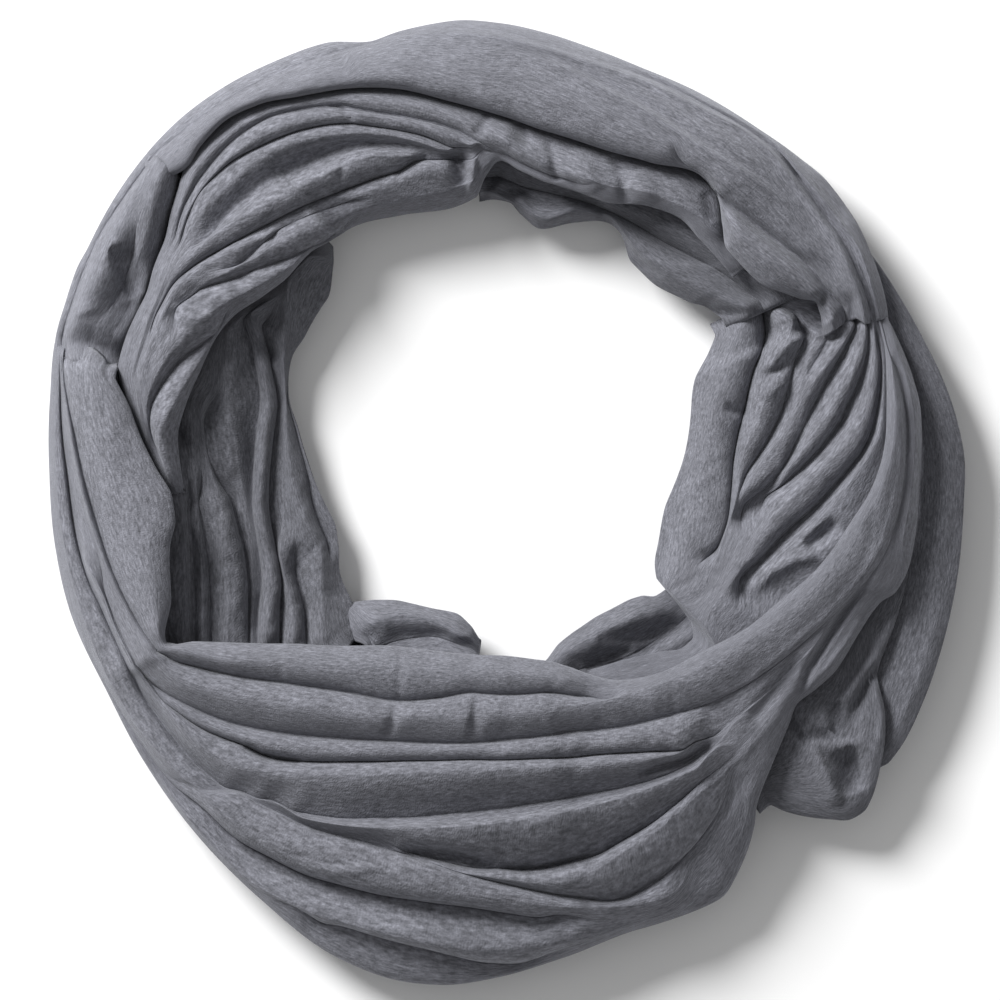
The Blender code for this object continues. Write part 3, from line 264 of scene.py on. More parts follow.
INNER_ARC = Stretch(
    "inner_arc", 34.0, 191.0, 2.8, 0, (3, 8),
    outer=(
        (740, 274), (724, 251), (718, 225), (712, 197), (697, 180), (650, 167), (600, 153), (550, 137),
        (500, 120), (450, 106), (400, 94), (350, 93), (300, 101), (262, 109), (223, 130), (205, 150),
        (192, 168), (183, 195), (177, 215), (170, 245), (160, 270), (153, 295), (143, 315), (132, 340),
        (125, 366), (133, 401), (144, 434), (157, 464), (173, 494)),
    inner=(
        (737, 283), (715, 256), (700, 240), (684, 222), (650, 207), (600, 201), (550, 184), (520, 171),
        (500, 161), (486, 176), (476, 197), (450, 208), (400, 215), (350, 228), (332, 240), (310, 253),
        (290, 275), (265, 295), (232, 318), (215, 340), (200, 372), (186, 405), (178, 440), (182, 475),
        (186, 500)),
    sections=(
        Section(34, 31, 28.5, -1.5, 0.5, 30, 28, 1.5),
        Section(48, 30, 27, -2, 3, 34, 27, 2),
        Section(70, 30, 27, -2, 5, 36, 27, 3),
        Section(88, 30.5, 27, -2, 6, 35, 27, 3),
        Section(95, 31, 27.5, -2, 10, 29, 25, 3),
        Section(100.5, 31.5, 28, -2, 13, 17, HOLE_FOOT, 6),
        Section(130, 31, 27, -2, 14, 17, HOLE_FOOT, 6),
        Section(132.8, 31, 27, -2, 9, 30, 28, 2),
        Section(142, 32, 28.5, 2, 8, 31, 28, 3),
        Section(160, 32, 28.5, 2, 8, 32, 28, 3),
        Section(168, 32, 28, 2, 7, 32, 28, 3),
        Section(175, 31, 27, -2, 8, 32, 28, 3),
        Section(191, 28, 25, -2, 4, 30, 27, 2),
    ),
    folds=(
        Fold("first_roll", (2, 3, 4, 3, 3, 2), 0, (
            (700, 218), (650, 194), (600, 184), (550, 166), (515, 148), (485, 132), (450, 116),
            (400, 101), (350, 97), (300, 104), (255, 118), (220, 142), (195, 172), (180, 205))),
        Fold("first_crease", (0, -2, -5, -6, -6, -3), 0.8, (
            (565, 184), (530, 169), (505, 155), (487, 147), (469, 137), (442, 126), (411, 119),
            (372, 113), (341, 107), (300, 110), (262, 121), (228, 145), (200, 178), (184, 207))),
        Fold("second_roll", 3, 0, (
            (470, 146), (425, 127), (375, 118), (340, 115), (300, 120), (262, 134), (232, 156),
            (205, 185), (188, 212))),
        Fold("second_crease", (-4, -7, -6, -2), 0.9, (
            (450, 148), (425, 137), (380, 128), (345, 124), (300, 131), (262, 146), (225, 167),
            (200, 193), (188, 218))),
        Fold("third_roll", (1, 1, 1, 2, 3), 0, (
            (440, 150), (400, 138), (350, 134), (300, 141), (262, 158), (228, 185), (200, 217),
            (180, 250), (163, 285), (147, 325), (134, 372))),
        Fold("hollow", (-6, -6, -3), 0, (
            (440, 152), (400, 144), (350, 146), (300, 165), (255, 190), (220, 222))),
        Fold("broad_roll", (2, 5, 5, 4), 0, (
            (398, 158), (370, 158), (340, 169), (300, 189), (262, 208), (225, 229), (195, 253),
            (170, 281), (150, 330), (134, 385), (140, 410))),
        Fold("fourth_crease", (-2, -8, -7, -7, -6, -2), 0.9, (
            (470, 160), (440, 160), (415, 162), (400, 171), (375, 179), (345, 190), (300, 208),
            (262, 228), (225, 248), (195, 266), (172, 287), (162, 305))),
        Fold("fifth_roll", (2, 4, 5, 4), 0, (
            (455, 182), (425, 174), (400, 184), (375, 191), (345, 202), (300, 219), (262, 238),
            (225, 256), (195, 274), (176, 290), (158, 330), (144, 370), (142, 400))),
        Fold("band_crease", (-1, -5, -4), 0.7, (
            (335, 200), (310, 214), (290, 222), (270, 238), (252, 254))),
        Fold("lower_band", (2, 4, 3), 0, (
            (440, 192), (400, 200), (350, 214), (310, 230), (275, 248), (240, 266), (205, 282))),
        Fold("lower_edge", (-2, -4, -4, -1), 0.8, (
            (335, 234), (300, 253), (250, 272), (225, 281), (200, 289), (180, 299))),
        Fold("tip_panel", (2, 3, 3, 4, 3), 0, (
            (300, 262), (260, 285), (220, 306), (196, 322), (172, 350), (152, 385), (145, 408))),
        Fold("tip_slit", (-3, -6, -8, -6), 0.7, (
            (216, 334), (196, 348), (178, 362), (162, 384), (151, 410), (150, 425))),
        Fold("tip_roll", 5, 0, (
            (215, 340), (200, 362), (184, 387), (170, 412), (160, 440), (168, 475), (178, 496))),
    ),
)

LEFT_INNER = Stretch(
    "left_inner", 133.4, 234.0, 0, 0, (2, 0),
    outer=(
        (324, 240), (302, 252), (280, 276), (250, 296), (215, 322), (190, 365), (162, 420), (160, 470),
        (155, 510), (150, 560), (153, 620), (172, 668), (240, 670), (300, 668), (345, 668)),
    inner=(
        (333, 242), (333, 265), (326, 300), (305, 335), (292, 356), (288, 392), (298, 430), (312, 475),
        (333, 520), (338, 545), (340, 575), (353, 605), (357, 622), (361, 640)),
    sections=(
        Section(133, 22, 17, 2, 1, 15, HOLE_FOOT, 6),
        Section(145, 23, 17, 3, 2, 15, HOLE_FOOT, 6),
        Section(175, 24, 17, 3, 2, 15, HOLE_FOOT, 6),
        Section(188, 26, 19, 3, 1, 14, HOLE_FOOT, 6),
        Section(212, 28, 19, 3, 0, 14, HOLE_FOOT, 6),
        Section(234, 26, 17, 3, 2, 16, HOLE_FOOT, 6),
    ),
    folds=(
        Fold("strip_ridge", 2, 0, ((178, 470), (182, 520), (183, 580), (183, 650))),
        Fold("strip_crease", -3, (0.7, 0.3), ((187, 510), (190, 548), (192, 600), (193, 650))),
        Fold("left_ridge", 1.5, 0, ((190, 440), (195, 480), (199, 530), (202, 580), (204, 650))),
        Fold("left_crease", (-3, -5, -6), (0.8, 0.3), ((198, 500), (206, 548), (210, 587), (213, 650))),
        Fold("middle_ridge", 4, 0, (
            (200, 420), (206, 450), (212, 475), (222, 510), (227, 560), (229, 600), (229, 650))),
        Fold("middle_crease", (-4, -6, -7, -6), (0.9, 0.5), (
            (203, 420), (207, 453), (216, 478), (231, 503), (242, 545), (247, 578), (248, 620),
            (249, 655))),
        Fold("flat_panel", (2, 2, 0, -3, -4), 0, (
            (228, 330), (229, 400), (236, 450), (243, 490), (250, 530), (252, 580), (253, 650))),
        Fold("panel_crease", (-1, -3, -5, -7, -7), (0.2, 0.8), (
            (243, 318), (252, 350), (259, 405), (254, 447), (252, 480), (252, 512), (257, 545),
            (261, 578), (258, 610), (258, 650))),
        Fold("bright_ridge", (5, 8, 8, 7), 0, (
            (249, 313), (259, 339), (264, 365), (269, 408), (264, 447), (261, 480), (261, 512),
            (266, 545), (271, 578), (268, 610), (268, 650))),
        Fold("ridge_foot", (-5, -6, -5, -5), (0.9, 0.2), (
            (261, 325), (270, 362), (277, 408), (272, 447), (269, 480), (269, 512), (275, 545),
            (281, 578), (280, 610), (280, 650))),
        Fold("lower_ridge", 4, 0, ((281, 560), (291, 600), (295, 650))),
        Fold("lower_crease", -5, (0.8, 0.3), ((294, 575), (303, 605), (307, 650))),
        Fold("side_roll", (3, 2, 1, 2, 5, 4), 0, (
            (290, 262), (286, 300), (284, 350), (286, 410), (292, 470), (306, 520), (318, 545),
            (322, 590), (325, 650))),
        Fold("side_crease", (-3, -4, -2), (0.6, 0.3), (
            (294, 405), (300, 440), (307, 475), (312, 505), (326, 540))),
    ),
)

RIGHT_INNER = Stretch(
    "right_inner", -71.5, 27.6, 0, 0, (3, 9),
    outer=(
        (585, 690), (612, 694), (660, 690), (705, 672), (755, 645), (800, 607), (838, 575), (858, 540),
        (876, 510), (888, 470), (893, 430), (893, 390), (889, 350), (881, 322), (850, 302), (818, 284)),
    inner=(
        (580, 672), (620, 661), (660, 652), (684, 647), (692, 640), (691, 622), (676, 602), (657, 579),
        (657, 550), (668, 500), (686, 450), (692, 400), (695, 380), (710, 350), (716, 335)),
    sections=(
        Section(-71, 25, 21, 1, 1, 21, 19, 1),
        Section(-63, 26, 18, 3, 1, 22, 18, 2),
        Section(-51, 27, 17, 3, 1, 20, 16, 3),
        Section(-42, 27, 17, 3, 2, 15, HOLE_FOOT, 6),
        Section(0, 27, 17, 3, 3, 15, HOLE_FOOT, 6),
        Section(12, 28, 22, 2, 4, 15, HOLE_FOOT, 6),
        Section(16.4, 28, 22, 2, 4, 15, HOLE_FOOT, 6),
        Section(19.5, 23, 17, 3, 2, 15, HOLE_FOOT, 6),
        Section(27, 23, 17, 3, 2, 15, HOLE_FOOT, 6),
    ),
    folds=(
        Fold("edge_ridge", 2, 0, (
            (884, 375), (883, 403), (880, 432), (871, 453), (859, 471), (845, 490), (830, 512),
            (812, 532), (795, 548), (775, 568))),
        Fold("outer_crease", (-2, -5, -6, -5, -3), (0.3, 0.95), (
            (881, 360), (881, 378), (879, 398), (875, 417), (868, 440), (858, 457), (847, 470),
            (835, 484), (820, 500), (808, 512), (793, 524), (778, 539), (759, 560), (744, 572))),
        Fold("outer_ridge", (2, 4, 4, 4), 0, (
            (873, 322), (875, 345), (873, 375), (868, 400), (860, 422), (846, 444), (828, 464),
            (810, 482), (793, 500), (773, 520), (753, 546), (733, 578), (713, 606))),
        Fold("third_crease", (-3, -6, -6, -5), (0.4, 0.95), (
            (868, 325), (867, 350), (858, 382), (849, 400), (842, 417), (832, 432), (821, 447),
            (808, 461), (795, 473), (783, 484), (766, 497))),
        Fold("third_ridge", 4, 0, (
            (865, 324), (862, 345), (857, 362), (848, 381), (839, 398), (825, 420), (811, 440),
            (799, 457), (786, 472))),
        Fold("middle_crease", (-4, -4, -1, -6, -7), (0.4, 0.9), (
            (857, 323), (847, 342), (840, 356), (830, 373), (822, 388), (810, 412), (798, 438),
            (784, 466), (773, 479), (761, 491), (746, 502))),
        Fold("middle_ridge", 3, 0, (
            (852, 327), (842, 344), (830, 360), (817, 376), (804, 398), (795, 415), (783, 437),
            (770, 454), (758, 472), (746, 490))),
        Fold("second_crease", (-4, -2, -3, -4, -2), (0.5, 0.85), (
            (806, 335), (800, 349), (794, 365), (790, 380), (787, 393), (781, 413), (773, 430),
            (764, 447), (756, 459), (746, 474))),
        Fold("first_ridge", (6, 5, 3, 3, 3), 0, (
            (794, 322), (785, 342), (775, 362), (769, 385), (764, 405), (757, 425), (749, 445),
            (741, 470), (736, 500), (727, 530), (705, 590))),
        Fold("first_crease", (-8, -6, -3, -3), (0.7, 0.85), (
            (762, 308), (766, 334), (761, 354), (754, 371), (749, 391), (745, 410), (738, 437),
            (734, 459), (731, 496), (728, 520), (718, 548))),
        Fold("hole_roll", 3, 0, (
            (744, 322), (736, 350), (726, 380), (714, 410), (704, 470), (690, 530), (678, 575))),
    ),
)

TOP_INNER = Stretch(
    "top_inner", 24.6, 96.6, 0, 0, (4, 0),
    outer=(
        (790, 287), (765, 268), (730, 238), (700, 208), (660, 190), (600, 180), (550, 163), (500, 145),
        (480, 150)),
    inner=(
        (722, 318), (705, 306), (690, 302), (650, 280), (632, 262), (620, 232), (610, 223), (575, 222),
        (540, 228), (520, 213), (510, 202), (490, 199), (480, 201)),
    sections=(
        Section(25, 26, 16, 3, 2, 20, HOLE_FOOT, 5),
        Section(40, 24, 16, 3, 3, 17, HOLE_FOOT, 6),
        Section(75, 22, 16, 3, 2, 15, HOLE_FOOT, 6),
        Section(97, 20, 14, 3, 1, 14, HOLE_FOOT, 4),
    ),
    folds=(
        Fold("back_ridge", 1, 0, (
            (745, 270), (705, 245), (660, 222), (600, 196), (545, 178), (495, 160))),
        Fold("back_crease", (-6, -8, -8, -5, -4), (0.4, 0.5), (
            (748, 292), (722, 272), (690, 255), (655, 236), (600, 207), (560, 195), (530, 188),
            (498, 176))),
        Fold("edge_roll", (4, 4, 3, 3), 0, (
            (744, 306), (720, 297), (690, 282), (655, 264), (630, 240), (610, 216), (575, 212),
            (540, 216), (518, 204), (488, 190))),
    ),
)

RIGHT_OUTER = Stretch(
    "right_outer", -42.6, 30.0, 0, 4.5, (3, 0),
    outer=(
        (881, 768), (890, 763), (900, 750), (925, 700), (945, 640), (958, 580), (965, 500), (966, 465),
        (958, 420), (940, 370), (925, 340), (900, 295), (874, 256), (844, 220)),
    inner=(
        (872, 762), (880, 720), (874, 680), (885, 650), (905, 588), (915, 545), (920, 480), (922, 410),
        (915, 385), (900, 350), (885, 320), (876, 293), (862, 250), (840, 215)),
    sections=(
        Section(-43, 17.5, OUTER_FOOT, 9, 1, 17, 16, 1),
        Section(-32, 18, OUTER_FOOT, 9, 2, 18, 16, 2),
        Section(0, 18, OUTER_FOOT, 9, 2, 18, 16, 2),
        Section(22, 17.5, OUTER_FOOT, 9, 1, 18, 16, 2),
        Section(30, 16, OUTER_FOOT, 9, 0.5, 17, 15, 2),
    ),
    folds=(
        Fold("outer_ridge", 1, 0, (
            (893, 735), (930, 640), (944, 540), (945, 460), (925, 380), (896, 310))),
    ),
)

RIGHT_FAN = Stretch(
    "right_fan", -56.6, -19.5, 0, 5.0, (0, 0),
    outer=(
        (759, 816), (770, 806), (785, 812), (805, 817), (830, 820), (852, 820), (865, 812), (872, 800),
        (877, 785), (881, 767), (885, 745), (885, 710), (878, 672), (885, 650), (895, 625), (905, 590),
        (910, 565)),
    inner=(
        (757, 805), (770, 770), (790, 722), (798, 703), (815, 690), (838, 668), (855, 640), (866, 622),
        (880, 603), (893, 585)),
    sections=(
        Section(-57, 18, OUTER_FOOT, 9, 1, 21, 19, 2),
        Section(-46, 18, OUTER_FOOT, 9, 4, 22, 19, 2),
        Section(-41, 23.6, 21.7, 3, 1.5, 22.5, 19.5, 2),
        Section(-19, 23.6, 21.7, 3, 0.5, 22.5, 19.5, 2),
    ),
    folds=(
        Fold("edge_ridge", 0.5, 0, ((874, 685), (878, 720), (874, 755), (866, 785), (852, 810))),
    ),
)

BOTTOM_LEFT_LOBE = Stretch(
    "bottom_left_lobe", 226.5, 263.0, 0, 0, (2, 5),
    outer=(
        (344, 612), (352, 640), (364, 645), (372, 668), (400, 674), (440, 672), (478, 666)),
    inner=(
        (349, 603), (362, 601), (375, 600), (400, 601), (430, 608), (455, 613), (470, 625), (480, 640)),
    sections=(
        Section(226.5, 17, HOLE_FOOT, -2, 1, 13, HOLE_FOOT, -1),
        Section(236, 21, 16, 3, 2, 15, HOLE_FOOT, 8),
        Section(263, 23, 17, 3, 1, 14, HOLE_FOOT, 8),
    ),
    folds=(
        Fold("lobe_crease", -2, 0.2, ((372, 650), (400, 640), (440, 638), (470, 648))),
        Fold("lobe_roll", 3, 0, ((380, 620), (400, 615), (430, 620), (456, 632))),
    ),
)

BOTTOM_RIGHT_LOBE = Stretch(
    "bottom_right_lobe", 279.5, 316.0, 0, 0, (5, 3),
    outer=(
        (550, 690), (600, 696), (645, 680), (680, 655), (702, 632)),
    inner=(
        (546, 661), (560, 643), (580, 628), (600, 615), (625, 602), (642, 596), (656, 596), (668, 588)),
    sections=(
        Section(280, 17, OUTER_FOOT, 1, 2, 14, HOLE_FOOT, 5),
        Section(300, 15, OUTER_FOOT, 1, 2, 15, HOLE_FOOT, 6),
        Section(316, 15, OUTER_FOOT, 1, 1, 14, HOLE_FOOT, 3),
    ),
    folds=(
        Fold("pocket", (-1, -3, -3, -2), (0.2, 0.2), ((585, 668), (612, 663), (645, 648), (672, 628))),
        Fold("lobe_roll", (3, 5, 4, 1), 0, ((560, 655), (585, 642), (612, 628), (640, 615), (662, 607))),
    ),
)

STRETCHES = (
    FRONT_SWEEP, TOP_BAND, LEFT_POUCH, INNER_ARC, LEFT_INNER, RIGHT_INNER, TOP_INNER, RIGHT_OUTER,
    RIGHT_FAN, BOTTOM_LEFT_LOBE, BOTTOM_RIGHT_LOBE,
)

# A short crease on a stretch: lift in mm, widths in pixels on its two sides, and its line in pixels.
Crease = namedtuple("Crease", "rise left right points")
CREASES = {
    "top_inner": (
        Crease(-3, 5, 5, ((500, 172), (486, 188), (480, 200))),
        Crease(-3, 4, 5, ((498, 190), (523, 191), (535, 200), (562, 203))),
        Crease(2, 5, 5, ((584, 200), (566, 213), (542, 224))),
        Crease(-3, 6, 5, ((598, 206), (604, 216), (608, 224))),
        Crease(-2.5, 4, 4, ((700, 306), (722, 312), (752, 314))),
        Crease(1.5, 4, 4, ((640, 256), (680, 268), (720, 268), (745, 282))),
        Crease(-1.5, 4, 4, ((622, 236), (640, 262), (664, 276))),
    ),
    "front_sweep": (
        Crease(-8, 7, 7, ((402, 851), (450, 855), (496, 866))),
        Crease(-5, 5, 5, ((498, 868), (540, 868), (592, 857))),
        Crease(-5, 3, 4, ((244, 745), (262, 754), (302, 760))),
        Crease(-7, 5, 4, ((636, 774), (656, 767), (690, 758), (710, 744))),
        Crease(-2, 5, 5, ((397, 702), (393, 720), (388, 737))),
        Crease(-2.5, 9, 3.5, ((476, 694), (474, 715), (470, 739))),
        Crease(-1, 3, 3, ((400, 647), (399, 672), (400, 700))),
        Crease(-0.7, 2.5, 2.5, ((283, 648), (282, 664), (280, 682))),
        Crease(-1.2, 4, 4, ((290, 850), (310, 858), (330, 864), (362, 862))),
        Crease(1.5, 5, 4, ((304, 860), (330, 870), (355, 871), (388, 864))),
        Crease(-4, 5, 4, ((862, 586), (842, 614), (825, 642), (808, 668), (800, 694))),
        Crease(2, 5, 5, ((862, 618), (846, 644), (828, 668), (806, 690))),
        Crease(1.0, 3, 4, (
            (700, 708), (751, 680), (788, 648), (822, 619), (847, 594), (866, 569), (881, 545),
            (889, 520), (896, 496), (900, 471), (902, 437), (901, 410), (898, 381), (889, 351))),
        Crease(-1.5, 4, 4, ((893, 356), (901, 381), (905, 415), (906, 455))),
        Crease(-3, 9, 9, ((800, 655), (775, 690), (748, 724))),
        Crease(0.5, 4, 4, ((780, 712), (751, 746), (734, 763), (690, 800))),
        Crease(-1.5, 9, 9, ((746, 772), (733, 795), (722, 818))),
        Crease(-1, 4, 4, ((673, 808), (677, 830), (680, 850))),
    ),
    "left_inner": (
        Crease(-5, 9, 7, ((256, 340), (266, 352), (276, 362))),
        Crease(-4, 7, 7, ((172, 424), (180, 436), (184, 448))),
        Crease(1.2, 5, 5, ((262, 640), (268, 620), (272, 602))),
    ),
    "top_band": (
        Crease(1.6, 3.5, 4, (
            (400, 35), (450, 33), (500, 37), (550, 50), (600, 66), (650, 84), (700, 108), (745, 131),
            (770, 151), (789, 176), (812, 207), (837, 243), (852, 275), (861, 300), (865, 322))),
        Crease(1.8, 3.5, 5, (
            (530, 55), (575, 73), (600, 88), (650, 115), (700, 148), (750, 177), (785, 204))),
        Crease(-1.5, 4, 4, ((560, 60), (606, 84), (656, 110), (706, 142), (756, 172), (790, 200))),
        Crease(1.6, 3, 4, (
            (655, 75), (700, 99), (745, 123), (780, 148), (799, 172), (828, 207), (858, 248), (872, 288),
            (880, 319))),
        Crease(-1.5, 3, 3, (
            (660, 70), (703, 93), (749, 117), (786, 142), (812, 170), (836, 205), (866, 248),
            (878, 286))),
        Crease(-3, 5, 5, (
            (700, 180), (719, 195), (751, 221), (781, 244), (808, 265), (827, 289), (848, 316))),
        Crease(-2, 8, 5, ((717, 196), (722, 215), (727, 244))),
        Crease(-3, 4, 4, ((822, 292), (822, 306), (828, 322))),
    ),
    "right_inner": (
        Crease(-5, 8, 7, ((838, 522), (824, 533), (806, 548))),
        Crease(-3.5, 7, 4, ((772, 305), (784, 309), (800, 314))),
        Crease(3.5, 7, 7, ((818, 556), (792, 560), (768, 574), (748, 594))),
        Crease(-2.5, 5, 5, ((726, 405), (736, 411), (748, 413))),
        Crease(-4, 4, 4, ((840, 325), (828, 344), (817, 361), (808, 378))),
        Crease(-4, 6, 5, ((800, 343), (789, 360), (776, 371), (762, 379))),
        Crease(1.5, 5, 5, ((790, 384), (776, 388), (764, 398))),
        Crease(-3, 6, 6, ((764, 306), (769, 326), (766, 350))),
        Crease(2.5, 4, 4, ((800, 321), (811, 327), (820, 338))),
        Crease(-2, 3, 3, ((804, 326), (808, 336), (809, 348))),
    ),
    "right_fan": (
        Crease(2, 6, 5, ((892, 622), (876, 656), (856, 684), (840, 706), (826, 734))),
        Crease(-6, 8, 7, ((838, 700), (836, 716), (838, 734))),
        Crease(-4, 6, 5, ((876, 668), (864, 692), (854, 712), (848, 732))),
        Crease(-3, 4, 4, ((786, 716), (797, 732), (806, 741))),
        Crease(-4, 8, 3, ((806, 736), (830, 737), (862, 737))),
        Crease(1.5, 3, 8, ((804, 744), (828, 744), (852, 744))),
        Crease(4, 4, 9, ((812, 746), (822, 762), (831, 780), (841, 804))),
        Crease(-8, 13, 12, ((843, 750), (850, 768), (854, 792))),
        Crease(1.5, 4, 4, ((874, 684), (883, 714), (882, 744))),
    ),
    "left_pouch": (
        Crease(-3, 5, 10, ((110, 250), (122, 253), (134, 254))),
        Crease(-5, 15, 3, ((111, 248), (117, 268), (130, 298))),
        Crease(-9, 16, 10, (
            (52, 350), (64, 346), (76, 343), (90, 346), (104, 352), (116, 360), (128, 376))),
        Crease(1.2, 6, 3, ((72, 318), (86, 312), (102, 308))),
    ),
    "bottom_right_lobe": (
        Crease(-3, 6, 4, ((586, 668), (602, 660), (622, 652), (634, 650))),
        Crease(-4, 9, 6, ((598, 640), (628, 638), (660, 632), (692, 622))),
        Crease(1.6, 4, 4, ((600, 682), (640, 671), (662, 651), (700, 632))),
    ),
    "inner_arc": (
        Crease(-1.5, 6, 3, ((168, 300), (182, 304), (200, 309), (214, 311))),
        Crease(1.2, 2.5, 7, ((166, 300), (182, 311), (200, 317), (216, 318))),
        Crease(-2.5, 4, 3, ((338, 106), (346, 114), (352, 122))),
        Crease(-1.5, 4, 4, ((345, 160), (340, 178), (334, 196))),
        Crease(1.5, 4, 3, ((275, 228), (266, 240), (258, 254))),
        Crease(-3, 6, 5, ((428, 156), (410, 164), (394, 176))),
        Crease(-7, 9, 8, ((452, 150), (458, 164), (464, 184))),
        Crease(3, 3, 4, ((474, 154), (473, 174), (469, 196))),
        Crease(-2.5, 4, 6, ((490, 112), (485, 123), (477, 138))),
        Crease(1.5, 7, 9, ((506, 120), (508, 132), (508, 146))),
        Crease(-2.5, 4, 8, ((518, 120), (524, 133), (531, 147))),
        Crease(-2.5, 7, 5, ((548, 140), (554, 160), (557, 182))),
        Crease(2, 10, 10, ((576, 148), (586, 168), (596, 192))),
        Crease(-3, 9, 5, ((612, 156), (622, 178), (625, 204))),
        Crease(2, 9, 14, ((640, 168), (646, 186), (650, 204))),
        Crease(-2, 8, 5, ((704, 192), (708, 206), (712, 222))),
    ),
}

# Degrees by which a stretch's first edge lies further on, at shares of the way across.
BOWS = {
    "top_band": ((0.0, 0.0), (0.3, 0.0), (0.42, 1.3), (0.7, 1.0), (1.0, 0.0)),
    "front_sweep": ((0.0, 0.7), (0.18, 0.8), (0.33, 0.2), (0.5, 0.3), (0.66, 0.6), (0.89, 1.3),
                    (1.0, 2.2)),
}
BOW_FADE = 9.0              # degrees

# Wrinkles all over the cloth: rise, length along the strand and width across it, in mm.
WRINKLES = ((0.5, 28.0, 7.0), (0.22, 11.0, 3.2))
WRINKLE_SEEDS = {stretch.name: 100 * number for number, stretch in enumerate(STRETCHES)}
DRIFT = (40.0, 30.0)        # mm along and across over which the wrinkles wander
DRIFT_SEED = 50             # added to the wrinkles' own
EDGE_POWER = 8              # keeps the wrinkles off the edges: the higher, the nearer they come
NOISE_CELLS = 256           # before the noise repeats

# Cut of what shows of each stretch, (width, length) in metres, what it rests on, and a painted shade: a
# factor on its colour, below 1 where the stretch lies in the shadow of higher layers.
CUTS = {
    "hidden_layers": ((0.11, 0.90), ("floor",), 1.0),
    "front_sweep": ((0.11, 0.60), ("hidden_layers_cloth", "left_inner_cloth", "right_inner_cloth"), 1.0),
    "top_band": ((0.075, 0.35), ("hidden_layers_cloth", "inner_arc_cloth"), 1.0),
    "left_pouch": ((0.065, 0.095), ("hidden_layers_cloth",), 1.0),
    "inner_arc": ((0.055, 0.36), ("hidden_layers_cloth", "top_inner_cloth"), 1.0),
    # painted shade: left_inner, top_inner, right_outer, right_fan and bottom_right_lobe are darkened for
    # lying in the shadow of the higher layers
    "left_inner": ((0.08, 0.205), ("hidden_layers_cloth",), 0.7),
    "right_inner": ((0.085, 0.21), ("hidden_layers_cloth",), 1.0),
    "top_inner": ((0.055, 0.135), ("hidden_layers_cloth",), 0.74),
    "right_outer": ((0.035, 0.235), ("hidden_layers_cloth",), 0.85),
    "right_fan": ((0.04, 0.125), ("hidden_layers_cloth",), 0.74),
    "bottom_left_lobe": ((0.045, 0.06), ("hidden_layers_cloth",), 1.0),
    "bottom_right_lobe": ((0.045, 0.065), ("hidden_layers_cloth",), 0.86),
}

HEATHER = (0.133, 0.135, 0.155)
CLOTH = {
    "Roughness": 0.92, "Specular IOR Level": 0.25,
    "Sheen Weight": 0.22, "Sheen Roughness": 0.55, "Sheen Tint": (0.8, 0.82, 0.88, 1.0),
}
# Noise in the cloth: features for each metre along the strand and across it, detail and roughness.
STREAK = (210.0, 1500.0, 2.0, 0.65)
FIBRE = (420.0, 2400.0, 2.0, 0.7)
CLOUD = (70.0, 220.0, 2.0, 0.5)
KNIT = (300.0, 900.0, 2.0, 0.6)
FINE_KNIT = (1500.0, 2600.0, 0.0, 0.5)
NOISE_LOW = 0.3             # the noise seldom goes below this
NOISE_HIGH = 0.7            # or above this
FIBRE_TONE = (0.66, 1.34)   # darkest and lightest, to 1 in the middle
CLOUD_TONE = (0.88, 1.12)
TONE_SCALE = 0.5            # brings the tone into the ramp's 0 to 1, and the ramp's end undoes it
KNIT_STRENGTH = 0.5
KNIT_DEPTH = 0.0004         # metres

WORLD_STRENGTH = 0.40
KEY_PLACE = (-2.0, 2.1, 2.0)    # metres
KEY_SIZE = 1.5              # metres
KEY_POWER = 225.0           # watts
CAMERA_HEIGHT = 6.0         # metres
FOCUS_HEIGHT = 0.03         # metres, the height at which PIXEL holds
SENSOR_WIDTH = 36.0         # mm
FLOOR_HALF = 6.0            # metres
FLOOR = {"Base Color": (0.86, 0.86, 0.86, 1.0), "Roughness": 0.9, "Specular IOR Level": 0.1}


def curve_through(xs, ys, at):
    """Smooth curve through the points that never swings past them, and level beyond its ends."""
    order = np.argsort(xs)
    xs = np.asarray(xs, float)[order]
    ys = np.asarray(ys, float)[order]
    step = np.diff(xs)
    rise = np.diff(ys) / step
    slope = np.concatenate(([rise[0]], np.zeros(len(xs) - 2), [rise[-1]]))
    for k in range(1, len(xs) - 1):
        if rise[k - 1] * rise[k] > 0:
            slope[k] = 2 * rise[k - 1] * rise[k] / (rise[k - 1] + rise[k])
    at = np.clip(at, xs[0], xs[-1])
    k = np.clip(np.searchsorted(xs, at, side="right") - 1, 0, len(xs) - 2)
    t = (at - xs[k]) / step[k]
    return ((1 + 2 * t) * (1 - t) ** 2 * ys[k] + t * (1 - t) ** 2 * step[k] * slope[k]
            + t * t * (3 - 2 * t) * ys[k + 1] + t * t * (t - 1) * step[k] * slope[k + 1])


def ease(t):
    """0 to 1 with no corner at either end."""
    t = np.clip(t, 0, 1)
    return t * t * (3 - 2 * t)


def blurred(grid, times):
    """The grid, smoothed along the stretch."""
    for _ in range(times):
        inner = (grid[:, :-2] + 2 * grid[:, 1:-1] + grid[:, 2:]) / 4
        grid = np.hstack((grid[:, :1], inner, grid[:, -1:]))
    return grid


def smooth_noise(x, y, seed):
    """Seeded noise from -1 to 1 over the plane, with features one unit across."""
    table = np.random.default_rng(seed).uniform(-1, 1, (NOISE_CELLS, NOISE_CELLS))
    cell_x = np.floor(x).astype(int)
    cell_y = np.floor(y).astype(int)
    tx = ease(x - cell_x)
    ty = ease(y - cell_y)

    def row(up):
        left = table[cell_x % NOISE_CELLS, (cell_y + up) % NOISE_CELLS]
        right = table[(cell_x + 1) % NOISE_CELLS, (cell_y + up) % NOISE_CELLS]
        return left * (1 - tx) + right * tx

    return row(0) * (1 - ty) + row(1) * ty


